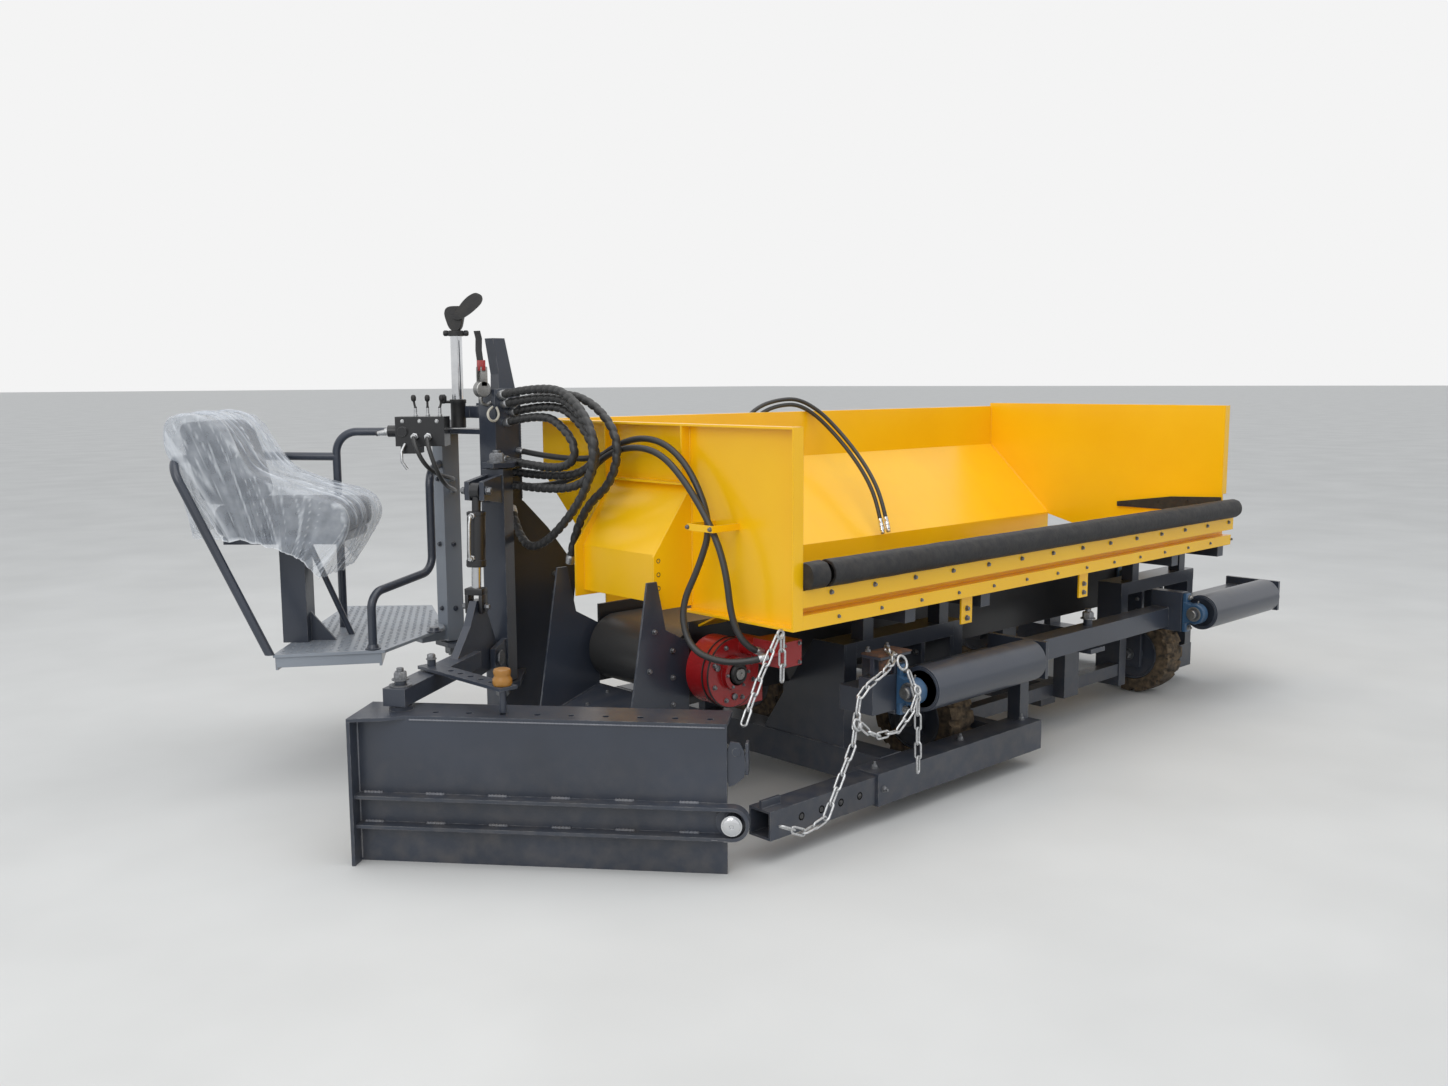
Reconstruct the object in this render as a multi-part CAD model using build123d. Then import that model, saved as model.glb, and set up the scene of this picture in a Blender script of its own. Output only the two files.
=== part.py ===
"""Road widening paver: a side-discharging hopper pushed by a loader, with a levelling blade.

All lengths are millimetres. X runs along the hopper from its outlet end, Y from the truck
side at the front to the loader side at the back, and Z up from the ground. Places are
worked out from the hopper's lower front corner, and ORIGIN moves the whole machine so
that the frame's origin lies on the ground under the middle of its box.
"""
from build123d import *
from math import atan2, radians, tan
import os

os.makedirs("parts", exist_ok=True)

# The frame's origin, on the ground under the middle of the machine
ORIGIN = (1105.0, 1201.0)

# Running clearances
PIN_CLEAR = 0.05
SLIDE_CLEAR = 0.3
SOFT_CLEAR = 0.3

# Hopper
HOPPER_LENGTH = 3200.0
HOPPER_DEPTH = 1470.0
HOPPER_BOTTOM = 750.0
HOPPER_WALL_HEIGHT = 686.0
RIGHT_WALL_EXTRA = 18.0
SHEET = 8.0
RIM_WIDTH = 60.0
FOLD_HEIGHT = 1215.0
SLOPE_FOOT_HEIGHT = 839.0
RIGHT_WALL_FRONT_Y = 56.0
RIGHT_WALL_FRONT_FOOT = 1003.0
FRONT_PANEL_DEPTH = 556.0
RIB_DEPTH = 40.0

# Hopper front lip
LIP_TUBE = 50.0
LIP_PLATE_Y = 46.0
STRIP_HEIGHT = 60.0
STRIP_THICKNESS = 10.0
LIP_TOP = 886.0
ROLL_DIAMETER = 98.0
ROLL_START = 120.0
ROLL_STUB = 95.0
LIP_BRACKET_WIDTH = 70.0
LIP_BRACKET_FOOT = 640.0

# Outlet hood
HOOD_TOP = 1214.0
HOOD_REACH = 185.0
HOOD_KNEE = 965.0
HOOD_FOOT = 770.0
HOOD_BACK_Y = 1010.0

# Cross conveyor
BELT_FRONT_Y = 560.0
BELT_WIDTH = 475.0
BELT_THICKNESS = 12.0
DRUM_DIAMETER = 236.0
DRUM_HEIGHT = 545.0
HEAD_DRUM_X = 20.0
TAIL_DRUM_X = 3060.0
DRUM_SHAFT = 50.0
BED_PLATE = 10.0
BED_GAP = 24.0
SKIRT_RISE = 40.0

# Base frame
BASE_TUBE = 120.0
BASE_LOW = 72.0
BASE_FRONT_Y = -70.0
BASE_BACK_Y = 1500.0
BASE_LEFT_X = 490.0
BASE_RIGHT_X = 3180.0
SLEEVE_RIGHT_X = 1380.0
SLEEVE_LEFT_X = 330.0
TUBE_WALL = 8.0
LOW_RAIL = 60.0
LOW_RAIL_Y = 240.0
SLEEVE_POST_X = 1310.0
PAD_PLATE = 20.0
PAD_GAP = 6.0
PAD_LENGTH = 120.0

# Wheel portals
PORTAL_LEFT_X = (500.0, 2550.0)
PORTAL_LENGTH = 740.0
PORTAL_DEPTH = 130.0
PORTAL_TOP = 594.0
PORTAL_BAR = 62.0
LEG_LOW = 80.0
STAY_X = (700.0, 1150.0, 2650.0, 3100.0)
STAY_FOOT = 720.0
FORK_PLATE = 20.0
FORK_GAP = 12.0

# Wheels
WHEEL_DIAMETER = 406.0
WHEEL_WIDTH = 150.0
RIM_DIAMETER = 268.0
WHEEL_RIGHT_X = 2860.0
WHEEL_FRONT_Y = 300.0
WHEEL_BACK_Y = 1270.0
AXLE_DIAMETER = 60.0
HUB_DIAMETER = 120.0
TREAD_LUGS = 10
LUG_DEPTH = 14.0
LUG_GAP = 22.0

# Truck push beam and rollers
BEAM_SIZE = 92.0
BEAM_FRONT_Y = 60.0
BEAM_LOW = 386.0
BEAM_LEFT_X = 400.0
BEAM_RIGHT_X = 2690.0
PIVOT_X = 2020.0
PIVOT_PIN = 40.0
ROLLER_DIAMETER = 168.3
ROLLER_LENGTH = 700.0
ROLLER_Y = -66.0
ROLLER_HEIGHT = 462.0
LEFT_ROLLER_X = 575.0
RIGHT_ROLLER_X = 2770.0
ROLLER_SHAFT = 45.0
BRACKET_PLATE = 20.0
OUTRIGGER = 70.0

# Telescoping side tube
INNER_TUBE = 100.0
INNER_LEFT_X = -210.0
INNER_RIGHT_X = 760.0

# Gearbox and discharge chute
GEARBOX_DIAMETER = 250.0
GEARBOX_WIDTH = 120.0
GEARBOX_FRONT_Y = 350.0
MOTOR_PLACE = (80.0, 640.0)
MOTOR_SIZE = (100.0, 140.0, 90.0)
MOTOR_FRONT_Y = 120.0
HOSE_PORTS = (  # where a hose ends, its direction there, the fitting's length
    ((-6.0, 150.0, 640.0), (44.0, -20.0, 12.0), 60.0),
    ((10.0, 196.0, 645.0), (70.0, 0.0, -20.0), 40.0),
)
CHUTE_PLATE = 8.0

# Mast and its hinges
MAST_X = -150.0
MAST_TUBE = 120.0
MAST_TOP = 1560.0
SWING_X = -300.0
SWING_Y = 1360.0
SWING_PIN = 50.0
SWING_POST = 90.0
POST_LOW = 400.0
POST_HIGH = 1250.0
HINGE_PLATE = 20.0

# Blade
BLADE_RIGHT = (-362.0, -14.0)
BLADE_LEFT = (-1162.0, 939.0)
BLADE_HEIGHT = 500.0
BLADE_PLATE = 12.0
FLANGE_WIDTH = 170.0
STIFFENER_DEPTH = 45.0
STIFFENER_HEIGHTS = (181.0, 56.0)
BLADE_PIVOT_ALONG = 1110.0
BLADE_PIVOT_BEHIND = 85.0
BLADE_PIN = 40.0
STRUT_PIN_OUT = 620.0
STRUT_HOLD_ALONG = 750.0
STRUT_HOLD_BEHIND = 55.0
FLANGE_HOLES = 9
FLANGE_HOLE_PITCH = 115.0
FLANGE_HOLE = 22.0
BLADE_RIBS = (232.0, 577.0, 922.0)
ARM_GAP = 20.0
ARM_LOW = BLADE_HEIGHT + ARM_GAP
ARM_HEIGHT = 60.0
ARM_WIDTH = 80.0
LIFT_PIN_OUT = 120.0
LIFT_PIN = 40.0
LIFT_PIN_HEIGHT = ARM_LOW
CYLINDER_OUT = 230.0
CYLINDER_TOP = 1180.0
CYLINDER_FOOT = ARM_LOW + 220.0
CYLINDER_DIAMETER = 70.0
CYLINDER_NECK = 80.0
ROD_DIAMETER = 36.0
ROD_SHOWN = 151.0
FORK_DEPTH = 46.0

# Operator platform
COLUMN_X = -216.0
COLUMN_Y = 1880.0
COLUMN_TUBE = 80.0
COLUMN_LOW = 480.0
COLUMN_TOP = 1370.0
DECK_TOP = 550.0
DECK_THICKNESS = 12.0
DECK_CORNERS = ((-1054.0, 1794.0), (-700.0, 1572.0), (-285.0, 1816.0), (-44.0, 2332.0), (-349.0, 2598.0))
RAIL_DIAMETER = 34.0
RAIL_BEND = 90.0

# Seat and its plastic film, in the seat's own plane: X forwards, Y to its right
SEAT_PLACE = (-880.0, 1920.0)
SEAT_FACING = (0.727, -0.687)
SEAT_SIDES = (-168.0, 306.0)
SEAT_POST = 100.0
SEAT_POST_PLACE = (-852.0, 1993.0)
SEAT_PAN = 968.0
PAN_HEIGHT = 32.0
CUSHION_HEIGHT = 130.0
CUSHION_LOW = SEAT_PAN + PAN_HEIGHT
CUSHION_TOP = CUSHION_LOW + CUSHION_HEIGHT
CUSHION_ENDS = (-270.0, 235.0)
FILM_THICKNESS = 1.5

# Mast top: mast column with its sensor head, valves and ratchet
SENSOR_PLACE = (-227.0, 1750.0)
SENSOR_SLEEVE = (1400.0, 1517.0)
SENSOR_TOP = 1850.0
SENSOR_TUBE = 48.0
VALVE_PLACE = (-385.0, 1770.0)
VALVE_LOW = 1300.0
VALVE_SIZE = (200.0, 110.0, 150.0)

# Hoses and chains
HOSE_DIAMETER = 24.0
WRAP_DIAMETER = 34.0
FREE_HOSE = 20.0
CHAIN_WIRE = 8.0
CHAIN_LENGTH = 70.0
CHAIN_WIDTH = 30.0
CHAIN_PITCH = 53.2

# Loader coupler on the rear rail
COUPLER_SPACING = 700.0
COUPLER_HEIGHTS = (300.0, 860.0)
COUPLER_BORE = 50.0
COUPLER_POST = 100.0
COUPLER_EAR = 25.0


def block(x0, x1, y0, y1, z0, z1):
    """A box between two corners."""
    size = (x1 - x0, y1 - y0, z1 - z0)
    return Pos(x0, y0, z0) * Box(*size, align=(Align.MIN, Align.MIN, Align.MIN))


def plate_x(points, x0, x1):
    """A flat plate square to X: points are (y, z)."""
    face = Plane((x0, 0, 0), (0, 1, 0), (1, 0, 0)) * Polygon(*points, align=None)
    return extrude(face, x1 - x0, dir=(1, 0, 0))


def plate_y(points, y0, y1):
    """A flat plate square to Y: points are (x, z)."""
    face = Plane((0, y1, 0), (1, 0, 0), (0, -1, 0)) * Polygon(*points, align=None)
    return extrude(face, y1 - y0, dir=(0, -1, 0))


def plate_z(points, z0, z1):
    """A flat plate square to Z: points are (x, y)."""
    face = Plane((0, 0, z0)) * Polygon(*points, align=None)
    return extrude(face, z1 - z0, dir=(0, 0, 1))


def rod(start, end, radius):
    """A round bar between two points."""
    start = Vector(*start)
    end = Vector(*end)
    along = end - start
    face = Plane(start, z_dir=along.normalized()) * Circle(radius)
    return extrude(face, along.length)


def pipe(points, radius, bend):
    """A round tube along straight runs joined by arcs of one bend radius."""
    path = FilletPolyline(*points, radius=bend)
    face = Plane(points[0], z_dir=path % 0) * Circle(radius)
    return sweep(face, path=path)


def join(solids):
    """One shape out of several that touch."""
    return Part() + list(solids)


def save(node, shape):
    """Write one sub-part, moved into the machine's own frame."""
    export_step(Pos(-ORIGIN[0], -ORIGIN[1], 0) * shape, f"parts/{node}.step")


# Places and heights that several pieces share
SIDE_FRONT_Y = BELT_FRONT_Y - BED_GAP - BED_PLATE
SIDE_BACK_Y = BELT_FRONT_Y + BELT_WIDTH + BED_GAP + BED_PLATE
SLOPE_FOOT_Y = SIDE_BACK_Y
BASE_TOP = BASE_LOW + BASE_TUBE
HOPPER_TOP = HOPPER_BOTTOM + HOPPER_WALL_HEIGHT
BELT_TOP = DRUM_HEIGHT + DRUM_DIAMETER / 2 + BELT_THICKNESS
SIDE_LOW = DRUM_HEIGHT - DRUM_DIAMETER / 2 - BELT_THICKNESS - 10
SIDE_HIGH = BELT_TOP + SKIRT_RISE
PORTAL_FRONT_Y = WHEEL_FRONT_Y - PORTAL_DEPTH / 2
PORTAL_BACK_Y = WHEEL_BACK_Y - PORTAL_DEPTH / 2
AXLE_HEIGHT = WHEEL_DIAMETER / 2
BEAM_TOP = BEAM_LOW + BEAM_SIZE
BEAM_BACK_Y = BEAM_FRONT_Y + BEAM_SIZE
BASE_REAR = BASE_BACK_Y + BASE_TUBE
TIE_LOW = BASE_LOW + LOW_RAIL
LOW_RAIL_BACK = LOW_RAIL_Y + LOW_RAIL
SLEEVE_BACK_Y = BASE_FRONT_Y + BASE_TUBE
WHEEL_LEFT_X = PORTAL_LEFT_X[0] + PORTAL_LENGTH - PORTAL_BAR - FORK_PLATE - FORK_GAP - WHEEL_WIDTH / 2


def profile_slope(offset):
    """The rear wall's section, rim to foot, offset outwards from the load side."""
    fall = Vector(HOPPER_DEPTH - SLOPE_FOOT_Y, FOLD_HEIGHT - SLOPE_FOOT_HEIGHT)
    lean = offset * tan(atan2(fall.Y, fall.X) / 2)
    return (
        (HOPPER_DEPTH + offset, HOPPER_TOP),
        (HOPPER_DEPTH + offset, FOLD_HEIGHT - lean),
        (SLOPE_FOOT_Y + offset * fall.Y / fall.length, SLOPE_FOOT_HEIGHT - offset * fall.X / fall.length),
    )


def hopper_left_end():
    """End wall at the outlet: front panel, the strip over the outlet and the rear wing."""
    inner = profile_slope(0)
    outline = [
        (0, HOPPER_BOTTOM),
        (0, HOPPER_TOP),
        inner[0],
        inner[1],
        inner[2],
        (HOOD_BACK_Y, SLOPE_FOOT_HEIGHT),
        (HOOD_BACK_Y, HOOD_TOP - RIB_DEPTH),
        (FRONT_PANEL_DEPTH, HOOD_TOP - RIB_DEPTH),
        (FRONT_PANEL_DEPTH, HOPPER_BOTTOM),
    ]
    wall = plate_x(outline, 0, SHEET)
    rim = block(-RIB_DEPTH, 0, 0, HOPPER_DEPTH, HOPPER_TOP - SHEET, HOPPER_TOP)
    post = block(-RIB_DEPTH, 0, 0, SHEET, HOPPER_BOTTOM, HOPPER_TOP - SHEET)
    foot = block(-RIB_DEPTH, 0, SHEET, FRONT_PANEL_DEPTH, HOPPER_BOTTOM, HOPPER_BOTTOM + SHEET)
    shelf = block(-RIB_DEPTH, 0, FRONT_PANEL_DEPTH, HOOD_BACK_Y, HOOD_TOP, HOOD_TOP + SHEET)
    ribs = [
        block(-RIB_DEPTH, 0, y, y + SHEET, HOOD_TOP + SHEET, HOPPER_TOP - SHEET)
        for y in (FRONT_PANEL_DEPTH, HOOD_BACK_Y - SHEET)
    ]
    return join([wall, rim, post, foot, shelf] + ribs)


def hopper_right_end():
    """End wall away from the outlet, a little taller than the rest."""
    x = HOPPER_LENGTH
    top = HOPPER_TOP + RIGHT_WALL_EXTRA
    inner = profile_slope(0)
    outline = [
        (RIGHT_WALL_FRONT_Y, RIGHT_WALL_FRONT_FOOT),
        (RIGHT_WALL_FRONT_Y, top),
        (inner[0][0] + SHEET, top),
        (inner[1][0] + SHEET, inner[1][1]),
        (inner[2][0], inner[2][1] - SHEET),
        (SIDE_FRONT_Y, BELT_TOP + 15),
        (LIP_PLATE_Y + SHEET, HOPPER_BOTTOM + LIP_TUBE),
        (LIP_PLATE_Y + SHEET, RIGHT_WALL_FRONT_FOOT),
    ]
    wall = plate_x(outline, x, x + SHEET)
    rim = block(x + SHEET, x + SHEET + RIB_DEPTH, RIGHT_WALL_FRONT_Y, inner[0][0], top - SHEET, top)
    ribs = [
        block(x + SHEET, x + SHEET + RIB_DEPTH, y, y + SHEET, foot, top - SHEET)
        for y, foot in ((RIGHT_WALL_FRONT_Y, RIGHT_WALL_FRONT_FOOT), (700.0, 900.0), (1180.0, 1000.0))
    ]
    return join([wall, rim] + ribs)


def hopper_rear_wall():
    """Rear wall: rim angle, upright part, the slope down to the conveyor and its skirt."""
    inner = profile_slope(0)
    outer = profile_slope(SHEET)
    outline = list(inner) + [outer[2], outer[1], outer[0]]
    wall = plate_x(outline, SHEET, HOPPER_LENGTH)
    y0 = HOPPER_DEPTH + SHEET
    rim = block(SHEET, HOPPER_LENGTH, y0, HOPPER_DEPTH + RIM_WIDTH, HOPPER_TOP - SHEET, HOPPER_TOP)
    y0 = SLOPE_FOOT_Y
    skirt = block(SHEET, HOPPER_LENGTH, y0, y0 + SHEET, BELT_TOP + 10, SLOPE_FOOT_HEIGHT)
    return join([wall, rim, skirt])


def hopper_stays():
    """Plates behind the rear wall, from its rim down to the wheel portals, in one node."""
    outer = profile_slope(SHEET)
    front = SLOPE_FOOT_Y + SHEET
    rise = (outer[1][1] - outer[2][1]) / (outer[1][0] - outer[2][0])
    back = outer[0][0] + RIM_WIDTH - SHEET
    points = [
        (outer[0][0], HOPPER_TOP - SHEET),
        (back, HOPPER_TOP - SHEET),
        (back, FOLD_HEIGHT - 60),
        (PORTAL_BACK_Y + PORTAL_DEPTH, STAY_FOOT),
        (PORTAL_BACK_Y, STAY_FOOT),
        (front, outer[2][1] - 40),
        (front, outer[2][1] + rise * (front - outer[2][0])),
        outer[1],
    ]
    return Compound([plate_x(points, x, x + SHEET) for x in STAY_X])


def hopper_front_lip():
    """Low front wall: lower tube, lip plate, inner slope and hanging brackets."""
    tube = block(SHEET, HOPPER_LENGTH, 0, LIP_TUBE, HOPPER_BOTTOM, HOPPER_BOTTOM + LIP_TUBE)
    hole = LIP_TUBE - 2 * 5
    bore = block(-1, HOPPER_LENGTH + 1, 5, 5 + hole, HOPPER_BOTTOM + 5, HOPPER_BOTTOM + 5 + hole)
    inner = [
        (LIP_PLATE_Y, HOPPER_BOTTOM + LIP_TUBE),
        (LIP_PLATE_Y, LIP_TOP + 40),
        (LIP_PLATE_Y + SHEET, LIP_TOP + 40),
        (SIDE_FRONT_Y, BELT_TOP + 15 + SHEET),
        (SIDE_FRONT_Y, BELT_TOP + 15),
        (LIP_PLATE_Y + SHEET, LIP_TOP + 40 - SHEET),
        (LIP_PLATE_Y + SHEET, HOPPER_BOTTOM + LIP_TUBE),
    ]
    slope = plate_x(inner, SHEET, HOPPER_LENGTH)
    low = LIP_TOP - STRIP_HEIGHT
    strip = block(SHEET, HOPPER_LENGTH + 20, 0, STRIP_THICKNESS, low, LIP_TOP)
    ledge = block(SHEET, HOPPER_LENGTH, LIP_PLATE_Y - 36, LIP_PLATE_Y, low, low + SHEET)
    brackets = [
        block(x, x + LIP_BRACKET_WIDTH, LIP_TUBE / 2, LIP_TUBE / 2 + SHEET, LIP_BRACKET_FOOT, HOPPER_BOTTOM)
        for x in (940.0, 1800.0)
    ]
    return join([tube - bore, slope, strip, ledge] + brackets)


def rubber_roll():
    """Rubber lip: a main roll along the front edge and a short stub at the outlet end."""
    radius = ROLL_DIAMETER / 2
    y = LIP_PLATE_Y - SOFT_CLEAR - radius
    z = LIP_TOP + SOFT_CLEAR + radius
    main = rod((ROLL_START, y, z), (HOPPER_LENGTH + 10, y, z), radius)
    stub = rod((SHEET + SOFT_CLEAR, y, z), (ROLL_STUB, y, z), radius)
    bore_main = rod((ROLL_START - 1, y, z), (ROLL_START + 160, y, z), radius - 14)
    bore_stub = rod((SHEET, y, z), (ROLL_STUB + 1, y, z), radius - 14)
    return Compound([main - bore_main, stub - bore_stub])


def outlet_hood():
    """Hood over the outlet: two side cheeks with flanges and a bent front sheet."""
    cheek = [(0, HOOD_TOP - 1), (0, HOOD_FOOT), (-HOOD_REACH, HOOD_FOOT), (-HOOD_REACH, HOOD_KNEE)]
    solids = []
    for y in (FRONT_PANEL_DEPTH - SHEET, HOOD_BACK_Y):
        solids.append(plate_y(cheek, y, y + SHEET))
    front = [
        (0, HOOD_TOP - 1),
        (-HOOD_REACH + 40, HOOD_KNEE),
        (-HOOD_REACH + 40, HOOD_FOOT + 20),
        (-HOOD_REACH + 40 + SHEET, HOOD_FOOT + 20),
        (-HOOD_REACH + 40 + SHEET, HOOD_KNEE),
        (0, HOOD_TOP - 1 - 2 * SHEET),
    ]
    solids.append(plate_y(front, FRONT_PANEL_DEPTH, HOOD_BACK_Y))
    return join(solids)


def conveyor_belt():
    """Endless belt round the head and tail drums, as one fixed loop."""
    radius = DRUM_DIAMETER / 2 + BELT_THICKNESS

    def loop(r, y0, y1):
        ends = [rod((x, y0, DRUM_HEIGHT), (x, y1, DRUM_HEIGHT), r) for x in (HEAD_DRUM_X, TAIL_DRUM_X)]
        middle = block(HEAD_DRUM_X, TAIL_DRUM_X, y0, y1, DRUM_HEIGHT - r, DRUM_HEIGHT + r)
        return join(ends + [middle])

    y1 = BELT_FRONT_Y + BELT_WIDTH
    return loop(radius, BELT_FRONT_Y, y1) - loop(DRUM_DIAMETER / 2, BELT_FRONT_Y - 1, y1 + 1)


def conveyor_drums():
    """Head and tail drums with their shafts, in one node."""
    solids = []
    for x in (HEAD_DRUM_X, TAIL_DRUM_X):
        start = (x, BELT_FRONT_Y, DRUM_HEIGHT)
        end = (x, BELT_FRONT_Y + BELT_WIDTH, DRUM_HEIGHT)
        drum = rod(start, end, DRUM_DIAMETER / 2 - SOFT_CLEAR)
        shaft = rod((x, SIDE_FRONT_Y, DRUM_HEIGHT), (x, SIDE_BACK_Y, DRUM_HEIGHT), DRUM_SHAFT / 2)
        solids.append(drum + shaft)
    return Compound(solids)


def conveyor_sides():
    """Side plates that carry the drum shafts, in one node."""
    solids = []
    for y in (SIDE_FRONT_Y, SIDE_BACK_Y - BED_PLATE):
        plate = block(HEAD_DRUM_X - 60, TAIL_DRUM_X + 60, y, y + BED_PLATE, SIDE_LOW, SIDE_HIGH)
        for x in (HEAD_DRUM_X, TAIL_DRUM_X):
            plate -= rod((x, y - 1, DRUM_HEIGHT), (x, y + BED_PLATE + 1, DRUM_HEIGHT), DRUM_SHAFT / 2)
        solids.append(plate)
    return Compound(solids)


def base_frame():
    """Rear rail, three cross tubes and the posts that carry the conveyor."""
    right = BASE_RIGHT_X + BASE_TUBE
    solids = [block(MAST_X - MAST_TUBE / 2, right, BASE_BACK_Y, BASE_REAR, BASE_LOW, BASE_TOP)]
    cross_tubes = (  # left side, front end
        (BASE_LEFT_X, SLEEVE_BACK_Y),
        (PIVOT_X - BASE_TUBE / 2, LOW_RAIL_BACK),
        (BASE_RIGHT_X, PORTAL_FRONT_Y),
    )
    post = BASE_TUBE / 3
    for x, y in cross_tubes:
        solids.append(block(x, x + BASE_TUBE, y, BASE_BACK_Y, BASE_LOW, BASE_TOP))
        for side in (SIDE_FRONT_Y, SIDE_BACK_Y - post):
            solids.append(block(x + 10, x + BASE_TUBE, side, side + post, BASE_TOP, SIDE_LOW))
    return join(solids)


def front_sleeve():
    """Square sleeve along the front that the side tube slides in."""
    gap = (BASE_TUBE - INNER_TUBE) / 2 - SLIDE_CLEAR
    tube = block(SLEEVE_LEFT_X, SLEEVE_RIGHT_X, BASE_FRONT_Y, SLEEVE_BACK_Y, BASE_LOW, BASE_TOP)
    y0 = BASE_FRONT_Y + gap
    y1 = SLEEVE_BACK_Y - gap
    bore = block(SLEEVE_LEFT_X - 1, SLEEVE_RIGHT_X - 100, y0, y1, BASE_LOW + gap, BASE_TOP - gap)
    return tube - bore


def front_rail():
    """Low rail between the front portals, the beam's pivot bracket and the post on the sleeve."""
    left = PORTAL_LEFT_X[0] + PORTAL_LENGTH
    rail = block(left, PORTAL_LEFT_X[1], LOW_RAIL_Y, LOW_RAIL_BACK, TIE_LOW, BASE_TOP)
    x0 = PIVOT_X - PAD_LENGTH / 2
    x1 = PIVOT_X + PAD_LENGTH / 2
    top = BEAM_LOW - PAD_GAP
    pad = block(x0, x1, BEAM_FRONT_Y - 10, LOW_RAIL_Y, top - PAD_PLATE, top)
    web = block(x0, x1, LOW_RAIL_Y - LOW_RAIL, LOW_RAIL_Y, TIE_LOW, top - PAD_PLATE)
    y = BEAM_BACK_Y - BEAM_SIZE / 2
    pivot = rod((PIVOT_X, y, top - PAD_PLATE), (PIVOT_X, y, BEAM_TOP + 30), PIVOT_PIN / 2)
    x0 = SLEEVE_POST_X
    post = block(x0, x0 + LOW_RAIL, SLEEVE_BACK_Y - LOW_RAIL, SLEEVE_BACK_Y, BASE_TOP, top)
    return Compound([join([rail, pad, web, pivot]), post])


def wheel_portals():
    """Four portals over the wheels, each two legs and a bar, with ties and the front gusset."""
    portals = (  # left side, front side, left leg's foot, right leg's foot
        (PORTAL_LEFT_X[0], PORTAL_FRONT_Y, BASE_TOP, TIE_LOW),
        (PORTAL_LEFT_X[0], PORTAL_BACK_Y, BASE_TOP, TIE_LOW),
        (PORTAL_LEFT_X[1], PORTAL_FRONT_Y, LEG_LOW, BASE_TOP),
        (PORTAL_LEFT_X[1], PORTAL_BACK_Y, TIE_LOW, BASE_TOP),
    )
    solids = []
    for x0, y0, left_foot, right_foot in portals:
        x1 = x0 + PORTAL_LENGTH
        y1 = y0 + PORTAL_DEPTH
        legs = block(x0, x0 + PORTAL_BAR, y0, y1, left_foot, PORTAL_TOP)
        legs += block(x1 - PORTAL_BAR, x1, y0, y1, right_foot, PORTAL_TOP)
        bar = block(x0 + PORTAL_BAR, x1 - PORTAL_BAR, y0, y1, PORTAL_TOP - PORTAL_BAR, PORTAL_TOP)
        solids.append(legs + bar)
    left, right = PORTAL_LEFT_X
    end = left + PORTAL_LENGTH
    back = PORTAL_BACK_Y + PORTAL_DEPTH
    solids[0] += block(end - PORTAL_BAR, end, SLEEVE_BACK_Y, PORTAL_FRONT_Y, TIE_LOW, BASE_TOP)
    solids[1] += block(end - PORTAL_BAR, end, back, BASE_BACK_Y, TIE_LOW, BASE_TOP)
    solids[3] += block(right, right + PORTAL_BAR, back, BASE_BACK_Y, TIE_LOW, BASE_TOP)
    gusset = [
        (PORTAL_FRONT_Y, BASE_TOP),
        (PORTAL_FRONT_Y, PORTAL_TOP),
        (PORTAL_FRONT_Y + PORTAL_DEPTH + 30, PORTAL_TOP),
        (PORTAL_FRONT_Y + 430, BASE_TOP),
    ]
    solids[0] += plate_x(gusset, left - 10, left)
    return Compound(solids)


def hopper_saddles():
    """Blocks between the wheel portals and the hopper, in one node."""
    solids = []
    for x0 in PORTAL_LEFT_X:
        for x in (x0 + 100, x0 + PORTAL_LENGTH - 160):
            y0 = PORTAL_FRONT_Y
            leg = block(x, x + 60, y0, y0 + 60, PORTAL_TOP, HOPPER_BOTTOM - 60)
            arm = block(x, x + 60, LIP_TUBE / 2 + SHEET, y0 + 60, HOPPER_BOTTOM - 60, HOPPER_BOTTOM)
            solids.append(leg + arm)
    for x in STAY_X:
        y0 = PORTAL_BACK_Y + 30
        solids.append(block(x - 26, x + SHEET + 26, y0, y0 + 70, PORTAL_TOP, STAY_FOOT))
    return Compound(solids)


def wheel_forks():
    """Pairs of plates under each portal that hold an axle, in one node."""
    solids = []
    for x in (WHEEL_LEFT_X, WHEEL_RIGHT_X):
        for y in (WHEEL_FRONT_Y, WHEEL_BACK_Y):
            for side in (-1, 1):
                near = x + side * (WHEEL_WIDTH / 2 + FORK_GAP)
                far = near + side * FORK_PLATE
                plate = block(
                    min(near, far),
                    max(near, far),
                    y - PORTAL_DEPTH / 2,
                    y + PORTAL_DEPTH / 2,
                    AXLE_HEIGHT - 60,
                    PORTAL_TOP - PORTAL_BAR,
                )
                axle = rod((near - side, y, AXLE_HEIGHT), (far + side, y, AXLE_HEIGHT), AXLE_DIAMETER / 2)
                solids.append(plate - axle)
    return Compound(solids)


def wheel_axles():
    """Four fixed axles, each through its pair of fork plates, in one node."""
    reach = WHEEL_WIDTH / 2 + FORK_GAP + FORK_PLATE
    solids = []
    for x in (WHEEL_LEFT_X, WHEEL_RIGHT_X):
        for y in (WHEEL_FRONT_Y, WHEEL_BACK_Y):
            solids.append(rod((x - reach, y, AXLE_HEIGHT), (x + reach, y, AXLE_HEIGHT), AXLE_DIAMETER / 2))
    return Compound(solids)


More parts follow.
